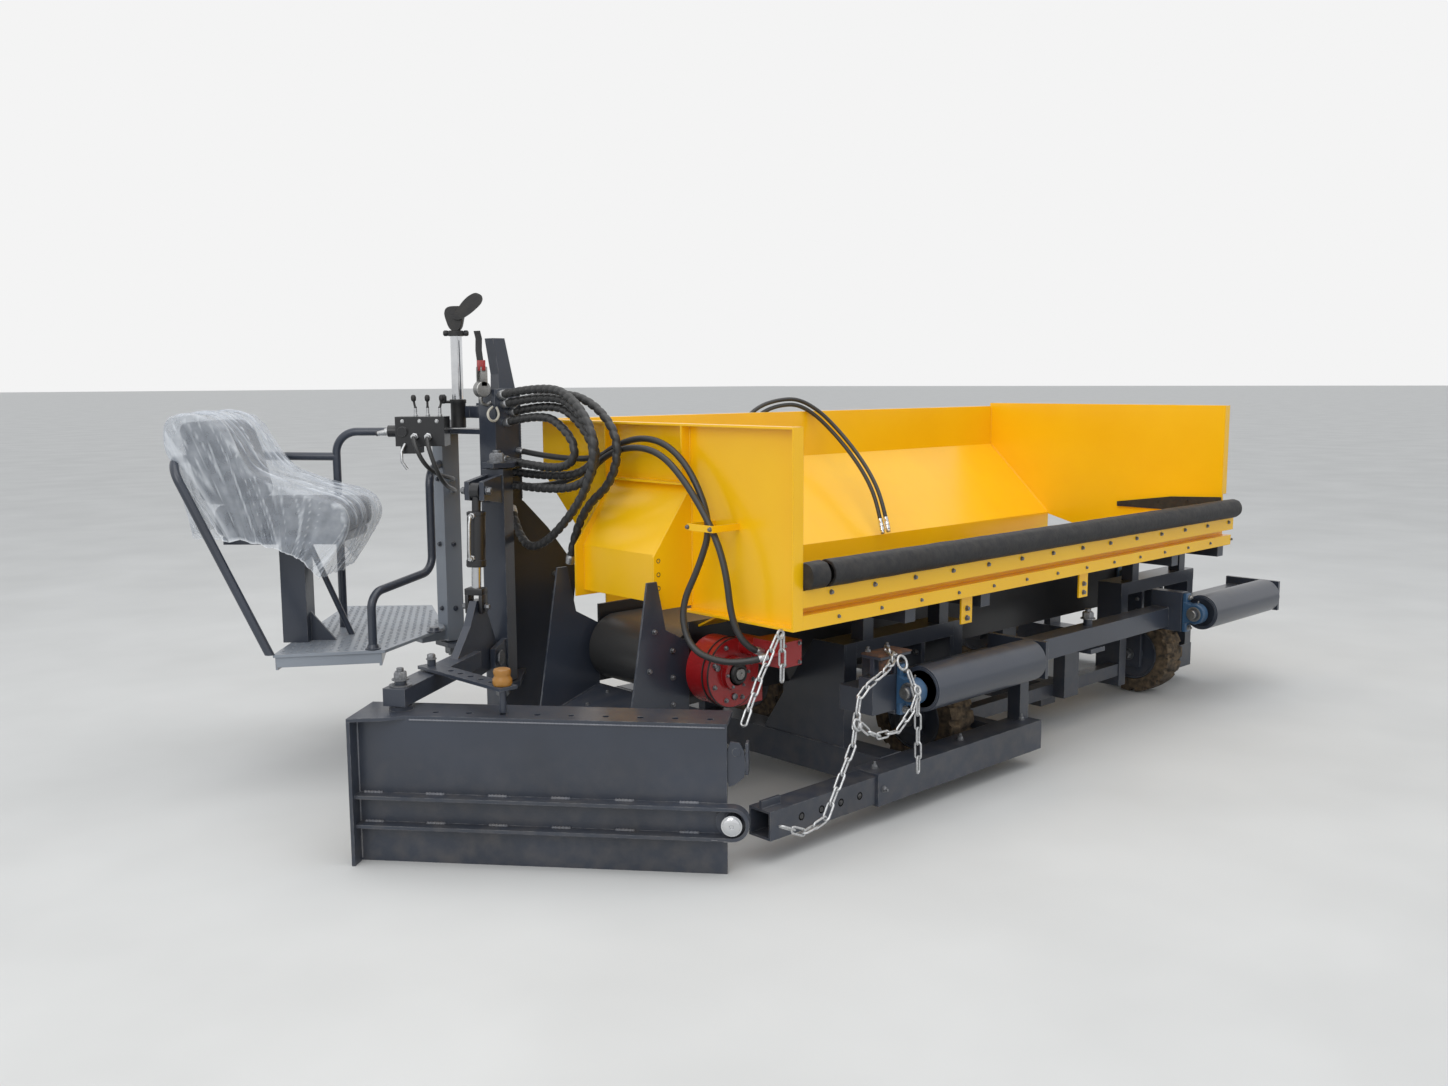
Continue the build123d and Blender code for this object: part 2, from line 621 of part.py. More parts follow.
def wheel_rim(x, y):
    """Steel rim disc with its hub."""
    half = WHEEL_WIDTH / 2
    barrel = rod((x - half + 12, y, AXLE_HEIGHT), (x + half - 12, y, AXLE_HEIGHT), RIM_DIAMETER / 2)
    inside = rod((x - half, y, AXLE_HEIGHT), (x + half, y, AXLE_HEIGHT), RIM_DIAMETER / 2 - 12)
    disc = rod((x - 8, y, AXLE_HEIGHT), (x + 8, y, AXLE_HEIGHT), RIM_DIAMETER / 2 - 6)
    hub = rod((x - half, y, AXLE_HEIGHT), (x + half, y, AXLE_HEIGHT), HUB_DIAMETER / 2)
    bore = rod((x - half - 1, y, AXLE_HEIGHT), (x + half + 1, y, AXLE_HEIGHT), AXLE_DIAMETER / 2 + PIN_CLEAR)
    return (barrel - inside) + disc + hub - bore


def wheel_tyre(x, y):
    """Solid tyre ring with a notch between its lugs on both shoulders."""
    half = WHEEL_WIDTH / 2
    radius = WHEEL_DIAMETER / 2
    tyre = rod((x - half, y, AXLE_HEIGHT), (x + half, y, AXLE_HEIGHT), radius)
    hole = RIM_DIAMETER / 2 + SOFT_CLEAR
    tyre -= rod((x - half - 1, y, AXLE_HEIGHT), (x + half + 1, y, AXLE_HEIGHT), hole)
    low = radius - LUG_DEPTH
    half_gap = LUG_GAP / 2
    notches = []
    for k in range(TREAD_LUGS):
        for side, shift in ((-1, 0.0), (1, 0.5)):
            turn = 360.0 * (k + shift) / TREAD_LUGS
            near = x + side * 28
            far = x + side * (half + 1)
            notch = block(min(near, far), max(near, far), -half_gap, half_gap, low, radius + 2)
            notches.append(Pos(0, y, AXLE_HEIGHT) * Rot(turn, 0, 0) * notch)
    return tyre - notches


def push_beam():
    """Truck push beam: square tube, pivot bore, roller brackets and the right outrigger."""
    y_mid = BEAM_FRONT_Y + BEAM_SIZE / 2
    beam = block(BEAM_LEFT_X, BEAM_RIGHT_X, BEAM_FRONT_Y, BEAM_BACK_Y, BEAM_LOW, BEAM_TOP)
    right_end = RIGHT_ROLLER_X + ROLLER_LENGTH + 30 + BRACKET_PLATE
    half = OUTRIGGER / 2
    low = ROLLER_HEIGHT - half
    outrigger = block(BEAM_RIGHT_X, right_end, y_mid - half, y_mid + half, low, low + OUTRIGGER)
    solids = [beam, outrigger]
    front = ROLLER_Y + 60
    for x0 in (LEFT_ROLLER_X, RIGHT_ROLLER_X):
        x1 = x0 - 20
        low = ROLLER_HEIGHT - 92
        solids.append(block(x1 - 60, x1, front, BEAM_BACK_Y, low, ROLLER_HEIGHT + 98))
        x = x0 + ROLLER_LENGTH + 30
        x1 = x + BRACKET_PLATE
        low = ROLLER_HEIGHT - 76
        plate = block(x, x1, ROLLER_Y - 62, BEAM_BACK_Y, low, ROLLER_HEIGHT + 76)
        start = (x - 1, ROLLER_Y, ROLLER_HEIGHT)
        bore = rod(start, (x1 + 1, ROLLER_Y, ROLLER_HEIGHT), ROLLER_SHAFT / 2 + PIN_CLEAR)
        solids.append(plate - bore)
    x0 = BEAM_LEFT_X - 30
    x1 = LEFT_ROLLER_X - 80
    top = ROLLER_HEIGHT + 60
    box = block(x0, x1, front, BEAM_FRONT_Y, BEAM_LOW, top)
    box += block(BEAM_LEFT_X, BEAM_LEFT_X + 40, front + 20, front + 40, top, 590)
    box += block(BEAM_LEFT_X - 10, BEAM_LEFT_X + 160, front - 20, front + 70, 590, 600)
    box += block(x0, BEAM_LEFT_X, BEAM_FRONT_Y, BEAM_BACK_Y, BEAM_LOW, BEAM_TOP)
    start = (PIVOT_X, y_mid, BEAM_LOW - 1)
    pin = rod(start, (PIVOT_X, y_mid, BEAM_TOP + 1), PIVOT_PIN / 2 + PIN_CLEAR)
    return join(solids + [box]) - pin


def roller_bearings():
    """Pillow block bearings on the front faces of the roller brackets, in one node."""
    solids = []
    face = ROLLER_Y + 60
    z = ROLLER_HEIGHT
    for x0 in (LEFT_ROLLER_X, RIGHT_ROLLER_X):
        x = x0 - 50
        base = block(x - 22, x + 22, face - 22, face, z - 95, z + 95)
        neck = block(x - 20, x + 20, ROLLER_Y, face - 22, z - 50, z + 50)
        housing = rod((x - 24, ROLLER_Y, z), (x + 24, ROLLER_Y, z), 50)
        bore = rod((x - 25, ROLLER_Y, z), (x + 25, ROLLER_Y, z), ROLLER_SHAFT / 2 + PIN_CLEAR)
        solids.append(base + neck + housing - bore)
    return Compound(solids)


def push_roller(x0):
    """Truck push roller: a steel pipe closed at its ends, on one shaft."""
    start = (x0, ROLLER_Y, ROLLER_HEIGHT)
    body = rod(start, (x0 + ROLLER_LENGTH, ROLLER_Y, ROLLER_HEIGHT), ROLLER_DIAMETER / 2)
    left = x0 - 30 - BRACKET_PLATE - 46
    right = x0 + ROLLER_LENGTH + 30 + BRACKET_PLATE
    return body + rod((left, ROLLER_Y, ROLLER_HEIGHT), (right, ROLLER_Y, ROLLER_HEIGHT), ROLLER_SHAFT / 2)


def extension_tube():
    """Inner tube that slides out of the front sleeve, with a towing ear at its free end."""
    y0 = BASE_FRONT_Y + (BASE_TUBE - INNER_TUBE) / 2
    z0 = BASE_LOW + (BASE_TUBE - INNER_TUBE) / 2
    tube = block(INNER_LEFT_X, INNER_RIGHT_X, y0, y0 + INNER_TUBE, z0, z0 + INNER_TUBE)
    wall = TUBE_WALL
    far = INNER_TUBE - wall
    hollow = block(INNER_LEFT_X - 1, INNER_LEFT_X + 400, y0 + wall, y0 + far, z0 + wall, z0 + far)
    ear = block(INNER_LEFT_X, INNER_LEFT_X + 90, y0 + 40, y0 + 52, z0 + INNER_TUBE, z0 + INNER_TUBE + 28)
    return tube - hollow + ear


def drive_gearbox():
    """Shaft gearbox on the head drum, with its torque foot and the hydraulic motor on its input."""
    x = HEAD_DRUM_X
    y0 = GEARBOX_FRONT_Y
    y1 = y0 + GEARBOX_WIDTH
    radius = GEARBOX_DIAMETER / 2
    case = rod((x, y0, DRUM_HEIGHT), (x, y1, DRUM_HEIGHT), radius)
    ring = rod((x, y0 - 22, DRUM_HEIGHT), (x, y0, DRUM_HEIGHT), 62)
    quill = rod((x, y1, DRUM_HEIGHT), (x, SIDE_FRONT_Y, DRUM_HEIGHT), 70)
    foot = block(x, x + radius + 40, y0 + 20, y1 - 10, DRUM_HEIGHT - 135, DRUM_HEIGHT - 60)
    motor_x, motor_z = MOTOR_PLACE
    wide, deep, high = MOTOR_SIZE
    back = MOTOR_FRONT_Y + deep
    left = motor_x - wide / 2
    motor = block(left, left + wide, MOTOR_FRONT_Y, back, motor_z - high / 2, motor_z + high / 2)
    neck = rod((motor_x, back, motor_z), (motor_x, y0 + 30, motor_z), 38)
    shape = case + ring + quill + foot + motor + neck
    for port, into, length in HOSE_PORTS:
        along = Vector(*into).normalized()
        start = Vector(*port) + along * SOFT_CLEAR
        end = start + along * length
        shape += rod((start.X, start.Y, start.Z), (end.X, end.Y, end.Z), 11)
    return shape


def discharge_chute():
    """Chute under the head drum: two tall cheeks and a sloping floor."""
    solids = []
    cheek = [
        (-190.0, 880.0),
        (-235.0, 880.0),
        (-330.0, 330.0),
        (-330.0, 290.0),
        (HEAD_DRUM_X - 60, 385.0),
        (HEAD_DRUM_X - 60, 640.0),
        (-150.0, 700.0),
    ]
    for y in (SIDE_FRONT_Y, SIDE_BACK_Y - CHUTE_PLATE):
        solids.append(plate_y(cheek, y, y + CHUTE_PLATE))
    floor = [(-330.0, 290.0), (-330.0, 300.0), (HEAD_DRUM_X - 60, 395.0), (HEAD_DRUM_X - 60, 385.0)]
    solids.append(plate_y(floor, SIDE_FRONT_Y + CHUTE_PLATE, SIDE_BACK_Y - CHUTE_PLATE))
    return join(solids)


def mast_frame():
    """Mast on the rear rail: tube, side gusset, hinge plates and the notched head."""
    half = MAST_TUBE / 2
    y_mid = BASE_BACK_Y + BASE_TUBE / 2
    tube = block(MAST_X - half, MAST_X + half, y_mid - half, y_mid + half, BASE_TOP, MAST_TOP)
    gusset = [
        (MAST_X - half, BASE_TOP),
        (MAST_X - half, 1150.0),
        (MAST_X + half, 1100.0),
        (30.0, 980.0),
        (170.0, 800.0),
        (170.0, 740.0),
        (90.0, BASE_TOP),
    ]
    solids = [tube, plate_y(gusset, BASE_BACK_Y - 10, BASE_BACK_Y)]
    pin = SWING_PIN / 2 + PIN_CLEAR
    for z in (POST_LOW - HINGE_PLATE - 5, POST_HIGH + 5):
        points = [
            (MAST_X + half, BASE_BACK_Y),
            (MAST_X - half, BASE_BACK_Y),
            (SWING_X - 50, SWING_Y + 30),
            (SWING_X - 50, SWING_Y - 50),
            (SWING_X + 50, SWING_Y - 50),
        ]
        plate = plate_z(points, z, z + HINGE_PLATE)
        bore = rod((SWING_X, SWING_Y, z - 1), (SWING_X, SWING_Y, z + HINGE_PLATE + 1), pin)
        solids.append(plate - bore)
    for z in (COLUMN_LOW - HINGE_PLATE - 5, COLUMN_TOP + 5):
        y = y_mid + half
        points = [
            (MAST_X + half, y),
            (COLUMN_X + 50, COLUMN_Y + 50),
            (COLUMN_X - 50, COLUMN_Y + 50),
            (COLUMN_X - 50, COLUMN_Y - 50),
            (MAST_X - half, y),
        ]
        plate = plate_z(points, z, z + HINGE_PLATE)
        bore = rod((COLUMN_X, COLUMN_Y, z - 1), (COLUMN_X, COLUMN_Y, z + HINGE_PLATE + 1), pin)
        solids.append(plate - bore)
    head = [
        (MAST_X - 20, MAST_TOP),
        (MAST_X - 18, MAST_TOP + 60),
        (MAST_X - 42, MAST_TOP + 205),
        (MAST_X + 14, MAST_TOP + 205),
        (MAST_X + half, MAST_TOP),
    ]
    solids.append(plate_y(head, y_mid - 30, y_mid + 30))
    return join(solids)


BLADE_DIRECTION = Vector(BLADE_LEFT[0] - BLADE_RIGHT[0], BLADE_LEFT[1] - BLADE_RIGHT[1], 0)
BLADE_LENGTH = BLADE_DIRECTION.length
BLADE_PLANE = Plane((*BLADE_RIGHT, 0), x_dir=BLADE_DIRECTION.normalized(), z_dir=(0, 0, 1))
BLADE_PIVOT = BLADE_PLANE.from_local_coords(Vector(BLADE_PIVOT_ALONG, -BLADE_PIVOT_BEHIND, 0))
ARM_DIRECTION = BLADE_PIVOT - Vector(SWING_X, SWING_Y, 0)
ARM_REACH = ARM_DIRECTION.length
ARM_PLANE = Plane((SWING_X, SWING_Y, 0), x_dir=ARM_DIRECTION.normalized(), z_dir=(0, 0, 1))


def swing_post():
    """Upright that swings on the mast, with the lift pin's ears and the cylinder lug."""
    half = SWING_POST / 2
    post = block(-half, half, -half, half, POST_LOW, POST_HIGH)
    solids = [post]
    for low, high in ((POST_LOW - HINGE_PLATE - 5, POST_LOW), (POST_HIGH, POST_HIGH + HINGE_PLATE + 5)):
        solids.append(rod((0, 0, low), (0, 0, high), SWING_PIN / 2))
    for side in (-1, 1):
        y = side * 30
        z = LIFT_PIN_HEIGHT
        tip = LIFT_PIN_OUT + 40
        ear = [(half, z - 60), (half, z + 60), (tip, z + 40), (tip, z - 40)]
        solids.append(plate_y(ear, y - 10, y + 10))
        z = CYLINDER_TOP
        tip = CYLINDER_OUT - 10
        top = [(half, z - 60), (half, z + 50), (tip, z + 35), (tip, z - 35)]
        solids.append(plate_y(top, y - 10, y + 10))
    z = LIFT_PIN_HEIGHT
    solids.append(rod((LIFT_PIN_OUT, -44, z), (LIFT_PIN_OUT, 44, z), LIFT_PIN / 2))
    solids.append(rod((CYLINDER_OUT - 30, -44, CYLINDER_TOP), (CYLINDER_OUT - 30, 44, CYLINDER_TOP), 15))
    return ARM_PLANE * join(solids)


def blade_arm():
    """Lifting arm: root plate on the lift pin, box arm and the blade's pivot eye."""
    root = [
        (LIFT_PIN_OUT - 40, LIFT_PIN_HEIGHT - 40),
        (LIFT_PIN_OUT - 40, LIFT_PIN_HEIGHT + 40),
        (CYLINDER_OUT - 30, CYLINDER_FOOT + 25),
        (CYLINDER_OUT + 30, CYLINDER_FOOT + 25),
        (CYLINDER_OUT + 90, CYLINDER_FOOT - 60),
        (CYLINDER_OUT + 210, ARM_LOW + ARM_HEIGHT),
        (CYLINDER_OUT + 210, ARM_LOW),
        (CYLINDER_OUT + 60, LIFT_PIN_HEIGHT - 50),
    ]
    plate = plate_y(root, -15, 15)
    half = ARM_WIDTH / 2
    arm_top = ARM_LOW + ARM_HEIGHT
    box = block(CYLINDER_OUT + 60, ARM_REACH + 50, -half, half, ARM_LOW, arm_top)
    strut_pin = rod((STRUT_PIN_OUT, 0, arm_top), (STRUT_PIN_OUT, 0, arm_top + 40), 15)
    z = LIFT_PIN_HEIGHT
    bore = rod((LIFT_PIN_OUT, -20, z), (LIFT_PIN_OUT, 20, z), LIFT_PIN / 2 + PIN_CLEAR)
    foot = rod((CYLINDER_OUT, -40, CYLINDER_FOOT), (CYLINDER_OUT, 40, CYLINDER_FOOT), 12)
    eye = rod((ARM_REACH, 0, ARM_LOW - 1), (ARM_REACH, 0, arm_top + 1), BLADE_PIN / 2 + PIN_CLEAR)
    return ARM_PLANE * (join([plate - bore, box, strut_pin, foot]) - eye)


def blade():
    """Levelling blade: plate, top flange, two stiffeners with the nose eye, and the end plate."""
    length = BLADE_LENGTH
    plate = block(0, length, -BLADE_PLATE, 0, 0, BLADE_HEIGHT - BLADE_PLATE)
    outline = [
        (0, 0),
        (0, -FLANGE_WIDTH),
        (length, -FLANGE_WIDTH),
        (length, 60),
        (length - 120, 30),
        (length - 180, 0),
    ]
    flange = plate_z(outline, BLADE_HEIGHT - BLADE_PLATE, BLADE_HEIGHT)
    for k in range(FLANGE_HOLES):
        x = STRUT_HOLD_ALONG + (k - 6) * FLANGE_HOLE_PITCH
        foot = (x, -STRUT_HOLD_BEHIND, BLADE_HEIGHT - BLADE_PLATE - 1)
        flange -= rod(foot, (x, -STRUT_HOLD_BEHIND, BLADE_HEIGHT + 1), FLANGE_HOLE / 2)
    end = block(length - BLADE_PLATE, length, 0, 60, 0, BLADE_HEIGHT - BLADE_PLATE)
    solids = [plate, flange, end]
    middle = STIFFENER_HEIGHTS[0]
    half = STIFFENER_HEIGHTS[1]
    for z in (middle - half, middle + half - BLADE_PLATE):
        solids.append(block(-20, length - BLADE_PLATE, 0, STIFFENER_DEPTH, z, z + BLADE_PLATE))
    nose = rod((-20, 0, middle), (-20, STIFFENER_DEPTH, middle), half)
    nose -= rod((-20, -1, middle), (-20, STIFFENER_DEPTH + 1, middle), half - BLADE_PLATE)
    nose &= block(-20 - half, -20, 0, STIFFENER_DEPTH, middle - half, middle + half)
    web = block(-20, 0, 0, BLADE_PLATE, middle - half, middle + half)
    cap = rod((-20, 0, middle), (-20, BLADE_PLATE, middle), half)
    pin = rod((-20, -30, middle), (-20, STIFFENER_DEPTH + 8, middle), 30)
    solids += [nose, web, cap, pin]
    top = BLADE_HEIGHT - BLADE_PLATE
    for x in BLADE_RIBS:
        rib = [(-BLADE_PLATE, 40), (-BLADE_PLATE, top), (-FLANGE_WIDTH + 20, top)]
        solids.append(plate_x(rib, x, x + 10))
    pivot = rod(
        (BLADE_PIVOT_ALONG, -BLADE_PIVOT_BEHIND, BLADE_HEIGHT),
        (BLADE_PIVOT_ALONG, -BLADE_PIVOT_BEHIND, ARM_LOW + ARM_HEIGHT + 20),
        BLADE_PIN / 2,
    )
    collar = rod(
        (BLADE_PIVOT_ALONG, -BLADE_PIVOT_BEHIND, BLADE_HEIGHT),
        (BLADE_PIVOT_ALONG, -BLADE_PIVOT_BEHIND, ARM_LOW - 5),
        BLADE_PIN,
    )
    return BLADE_PLANE * join(solids + [pivot, collar])


def lift_cylinder():
    """Lift cylinder barrel with its top eye."""
    x = CYLINDER_OUT - 30
    top = Vector(x, 0, CYLINDER_TOP)
    foot = Vector(CYLINDER_OUT, 0, CYLINDER_FOOT)
    along = (foot - top).normalized()
    mouth = (foot - top).length - ROD_SHOWN
    eye = rod((x, -18, CYLINDER_TOP), (x, 18, CYLINDER_TOP), 30)
    neck = rod(tuple(top + along * 20), tuple(top + along * (CYLINDER_NECK + 1)), 17)
    barrel = rod(tuple(top + along * CYLINDER_NECK), tuple(top + along * mouth), CYLINDER_DIAMETER / 2)
    barrel += neck
    start = top + along * (CYLINDER_NECK + 15)
    bore = rod(tuple(start), tuple(top + along * (mouth + 1)), ROD_DIAMETER / 2 + PIN_CLEAR)
    pin = rod((x, -19, CYLINDER_TOP), (x, 19, CYLINDER_TOP), 15 + PIN_CLEAR)
    return ARM_PLANE * (eye + barrel - bore - pin)


def lift_rod():
    """Chrome rod of the lift cylinder with its fork."""
    x = CYLINDER_OUT - 30
    top = Vector(x, 0, CYLINDER_TOP)
    foot = Vector(CYLINDER_OUT, 0, CYLINDER_FOOT)
    along = (foot - top).normalized()
    reach = (foot - top).length
    start = top + along * (CYLINDER_NECK + 50)
    bar = rod(tuple(start), tuple(top + along * (reach - 52)), ROD_DIAMETER / 2)
    bridge = CYLINDER_FOOT + FORK_DEPTH
    solids = [bar, block(CYLINDER_OUT - 28, CYLINDER_OUT + 28, -36, 36, bridge, bridge + 26)]
    for side in (-1, 1):
        y = side * 28
        cheek = block(CYLINDER_OUT - 28, CYLINDER_OUT + 28, y - 8, y + 8, CYLINDER_FOOT - 25, bridge)
        hole = rod((CYLINDER_OUT, y - 9, CYLINDER_FOOT), (CYLINDER_OUT, y + 9, CYLINDER_FOOT), 14)
        solids.append(cheek - hole)
    return ARM_PLANE * join(solids)


def angle_strut():
    """Perforated strut from the arm's pin to the blade's top flange, with its locking knob."""
    start = ARM_PLANE.from_local_coords(Vector(STRUT_PIN_OUT, 0, 0))
    end = BLADE_PLANE.from_local_coords(Vector(STRUT_HOLD_ALONG, -STRUT_HOLD_BEHIND, 0))
    along = end - start
    frame = Plane((start.X, start.Y, 0), x_dir=along.normalized(), z_dir=(0, 0, 1))
    low = ARM_LOW + ARM_HEIGHT + 5
    bar = block(-35, along.length + 35, -35, 35, low, low + 12)
    for k in range(6):
        x = 120 + k * 60
        bar -= rod((x, 0, low - 1), (x, 0, low + 13), 11)
    bar -= rod((0, 0, low - 1), (0, 0, low + 13), 15 + PIN_CLEAR)
    drop = rod((along.length, 0, BLADE_HEIGHT + 5), (along.length, 0, low), 12)
    knob = rod((along.length, 0, low + 12), (along.length, 0, low + 52), 26)
    return frame * (bar + drop + knob)


def column_tube():
    """Square tube of the platform's column."""
    half = COLUMN_TUBE / 2
    return Pos(COLUMN_X, COLUMN_Y, 0) * block(-half, half, -half, half, COLUMN_LOW, COLUMN_TOP)


def platform_deck():
    """Swinging operator platform: column, deck plate and the beams under it."""
    solids = [column_tube()]
    reach = HINGE_PLATE + 5
    for low, high in ((COLUMN_LOW - reach, COLUMN_LOW), (COLUMN_TOP, COLUMN_TOP + reach)):
        solids.append(rod((COLUMN_X, COLUMN_Y, low), (COLUMN_X, COLUMN_Y, high), SWING_PIN / 2))
    solids.append(plate_z(DECK_CORNERS, DECK_TOP - DECK_THICKNESS, DECK_TOP))
    a = Vector(*DECK_CORNERS[0])
    b = Vector(*DECK_CORNERS[1])
    e = Vector(*DECK_CORNERS[4])
    edge = Plane((a.X, a.Y, 0), x_dir=(b.X - a.X, b.Y - a.Y, 0), z_dir=(0, 0, 1))
    outside = Plane((a.X, a.Y, 0), x_dir=(e.X - a.X, e.Y - a.Y, 0), z_dir=(0, 0, 1))
    low = DECK_TOP - DECK_THICKNESS
    solids.append(outside * block(10, 900, -15, -5, low - 50, low))
    solids.append(edge * block(395, 405, 5, 900, low - 50, low))
    solids.append(edge * block(10, 395, 5, 15, low - 40, low))
    reach = block(COLUMN_X - 160, COLUMN_X + 30, COLUMN_Y - 30, COLUMN_Y + 30, low - 50, low)
    solids.append(reach)
    return join(solids)


SEAT_PLANE = Plane((*SEAT_PLACE, 0), x_dir=(*SEAT_FACING, 0), z_dir=(0, 0, 1))
RAIL_KNEE = (-400.0, -211.0, 1300.0)
RAIL_BACK_Y = 350.0
RAIL_POST_X = 67.0


def seat_point(x, y, z):
    """A place given in the seat's plane, in hopper coordinates."""
    point = SEAT_PLANE.from_local_coords(Vector(x, y, z))
    return (point.X, point.Y, point.Z)


def rail_loop():
    """Route of the rail that goes up beside the seat and round behind it."""
    x, y, z = RAIL_KNEE
    return [
        seat_point(-38.0, y, DECK_TOP - 30),
        seat_point(x, y, z),
        seat_point(x, RAIL_BACK_Y, z - 14),
        seat_point(RAIL_POST_X, RAIL_BACK_Y, z - 20),
    ]


def platform_rails():
    """Guard rails: the loop behind the seat, the post beside it and the step rail."""
    radius = RAIL_DIAMETER / 2
    loop = rail_loop()
    post = [
        seat_point(RAIL_POST_X, RAIL_BACK_Y, DECK_TOP),
        seat_point(RAIL_POST_X, RAIL_BACK_Y, 1384.0),
        seat_point(300.0, RAIL_BACK_Y, 1384.0),
    ]
    step = [
        (-725.0, 1620.0, DECK_TOP),
        (-725.0, 1620.0, 770.0),
        (-372.0, 1755.0, 812.0),
        (-372.0, 1755.0, 1225.0),
        (COLUMN_X - COLUMN_TUBE / 2 + 4, COLUMN_Y - 10, 1245.0),
    ]
    under = block(-1500, 0, 1400, 2700, DECK_TOP - 100, DECK_TOP)
    guard = pipe(loop, radius, RAIL_BEND) + pipe(post, radius, RAIL_BEND) - under
    return Compound([guard, pipe(step, radius, 70.0) - column_tube()])


def seat_post():
    """Seat post with its foot gusset, brace and the pan under the cushion."""
    half = SEAT_POST / 2
    x, y = SEAT_POST_PLACE
    place = SEAT_PLANE.to_local_coords(Vector(x, y, 0))
    post = block(place.X - half, place.X + half, place.Y - half, place.Y + half, DECK_TOP, SEAT_PAN)
    y0 = SEAT_SIDES[0] + 40
    y1 = SEAT_SIDES[1] - 40
    pan = block(CUSHION_ENDS[0] + 30, CUSHION_ENDS[1] - 30, y0, y1, SEAT_PAN, CUSHION_LOW - SOFT_CLEAR)
    foot = [(place.X + half, DECK_TOP), (place.X + half, DECK_TOP + 120), (place.X + half + 100, DECK_TOP)]
    gusset = plate_y(foot, place.Y - 5, place.Y + 5)
    start = (place.X + half - 2, place.Y + 30, SEAT_PAN - 30)
    brace = rod(start, (place.X + 180, place.Y + 120, DECK_TOP - 9), 12)
    brace -= block(place.X, place.X + 300, place.Y, place.Y + 200, DECK_TOP - 40, DECK_TOP)
    return SEAT_PLANE * join([post, pan, gusset, brace])


def seat_cushion():
    """Seat cushion, a plain rounded pad."""
    pad = block(CUSHION_ENDS[0], CUSHION_ENDS[1], SEAT_SIDES[0], SEAT_SIDES[1], CUSHION_LOW, CUSHION_TOP)
    pad = fillet(pad.edges().filter_by(Axis.Z), 60)
    pad = fillet(pad.faces().sort_by(Axis.Z)[-1].edges(), 35)
    return SEAT_PLANE * pad


def seat_back():
    """Reclined back pad, standing on the rear of the cushion."""
    side = [
        (-270.0, CUSHION_TOP + SOFT_CLEAR),
        (-366.0, CUSHION_TOP + 230),
        (-360.0, CUSHION_TOP + 300),
        (-300.0, CUSHION_TOP + 310),
        (-262.0, CUSHION_TOP + 270),
        (-160.0, CUSHION_TOP + SOFT_CLEAR),
    ]
    return SEAT_PLANE * plate_y(side, SEAT_SIDES[0] + 20, SEAT_SIDES[1] - 20)


FILM_OUTLINE = (
    (-340.0, CUSHION_TOP - 120),
    (-384.0, CUSHION_TOP + 70),
    (-384.0, CUSHION_TOP + 140),
    (-430.0, CUSHION_TOP + 200),
    (-425.0, CUSHION_TOP + 310),
    (-390.0, CUSHION_TOP + 330),
    (-255.0, CUSHION_TOP + 322),
    (-200.0, CUSHION_TOP + 270),
    (-135.0, CUSHION_TOP + 157),
    (-90.0, CUSHION_TOP + 105),
    (120.0, CUSHION_TOP + 32),
    (205.0, CUSHION_TOP + 12),
    (250.0, CUSHION_TOP - 24),
    (262.0, CUSHION_TOP - 90),
    (200.0, CUSHION_TOP - 195),
    (130.0, CUSHION_TOP - 290),
    (100.0, CUSHION_TOP - 230),
    (10.0, CUSHION_TOP - 185),
    (-80.0, CUSHION_TOP - 154),
)


FILM_HEM = (
    (-500.0, CUSHION_TOP - 430),
    (-500.0, CUSHION_TOP - 120),
    (-341.0, CUSHION_TOP - 117),
    (-79.0, CUSHION_TOP - 151),
    (11.0, CUSHION_TOP - 182),
    (101.0, CUSHION_TOP - 227),
    (131.0, CUSHION_TOP - 287),
    (150.0, CUSHION_TOP - 430),
)


def seat_film():
    """Clear plastic film that hangs over the seat, open below."""
    y0 = SEAT_SIDES[0] - SOFT_CLEAR - FILM_THICKNESS
    y1 = SEAT_SIDES[1] + SOFT_CLEAR + FILM_THICKNESS
    outer = plate_y(FILM_OUTLINE, y0, y1)
    shrunk = offset(Polygon(*FILM_OUTLINE, align=None), -FILM_THICKNESS, kind=Kind.INTERSECTION)
    inner_face = Plane((0, y1 - FILM_THICKNESS, 0), (1, 0, 0), (0, -1, 0)) * shrunk
    inner = extrude(inner_face, y1 - y0 - 2 * FILM_THICKNESS, dir=(0, -1, 0))
    hem = plate_y(FILM_HEM, y0 - 1, y1 + 1)
    rail = pipe(rail_loop(), RAIL_DIAMETER / 2 + 12, RAIL_BEND)
    return SEAT_PLANE * (outer - inner - hem) - rail


def control_valves():
    """Valve block on the column: body, end cap with nozzle, levers and its bracket."""
    frame = Plane((*VALVE_PLACE, 0), x_dir=(*SEAT_FACING, 0), z_dir=(0, 0, 1))
    half = VALVE_SIZE[0] / 2
    deep = VALVE_SIZE[1] / 2
    low = VALVE_LOW
    top = low + VALVE_SIZE[2]
    body = block(-half, half, -deep, deep, low + 30, top)
    mid = low + 90
    solids = [body, block(-half + 20, -half + 90, -deep, deep, low, low + 31)]
    solids.append(rod((-half + 1, 0, mid), (-half - 42, 0, mid), 24))
    solids.append(rod((-half - 41, 0, mid), (-half - 92, 0, mid - 12), 9))
    solids.append(rod((-half + 30, -deep + 1, mid), (-half + 30, -deep - 12, mid), 20))
    for x in (-30.0, 20.0, 70.0):
        solids.append(rod((x, 10, top - 1), (x, 10, top + 40), 6))
    start = frame.from_local_coords(Vector(0, deep - 1, low + 44))
    bracket = rod((start.X, start.Y, start.Z), (COLUMN_X, COLUMN_Y, low + 44), 13)
    return join([frame * join(solids), bracket - column_tube()])


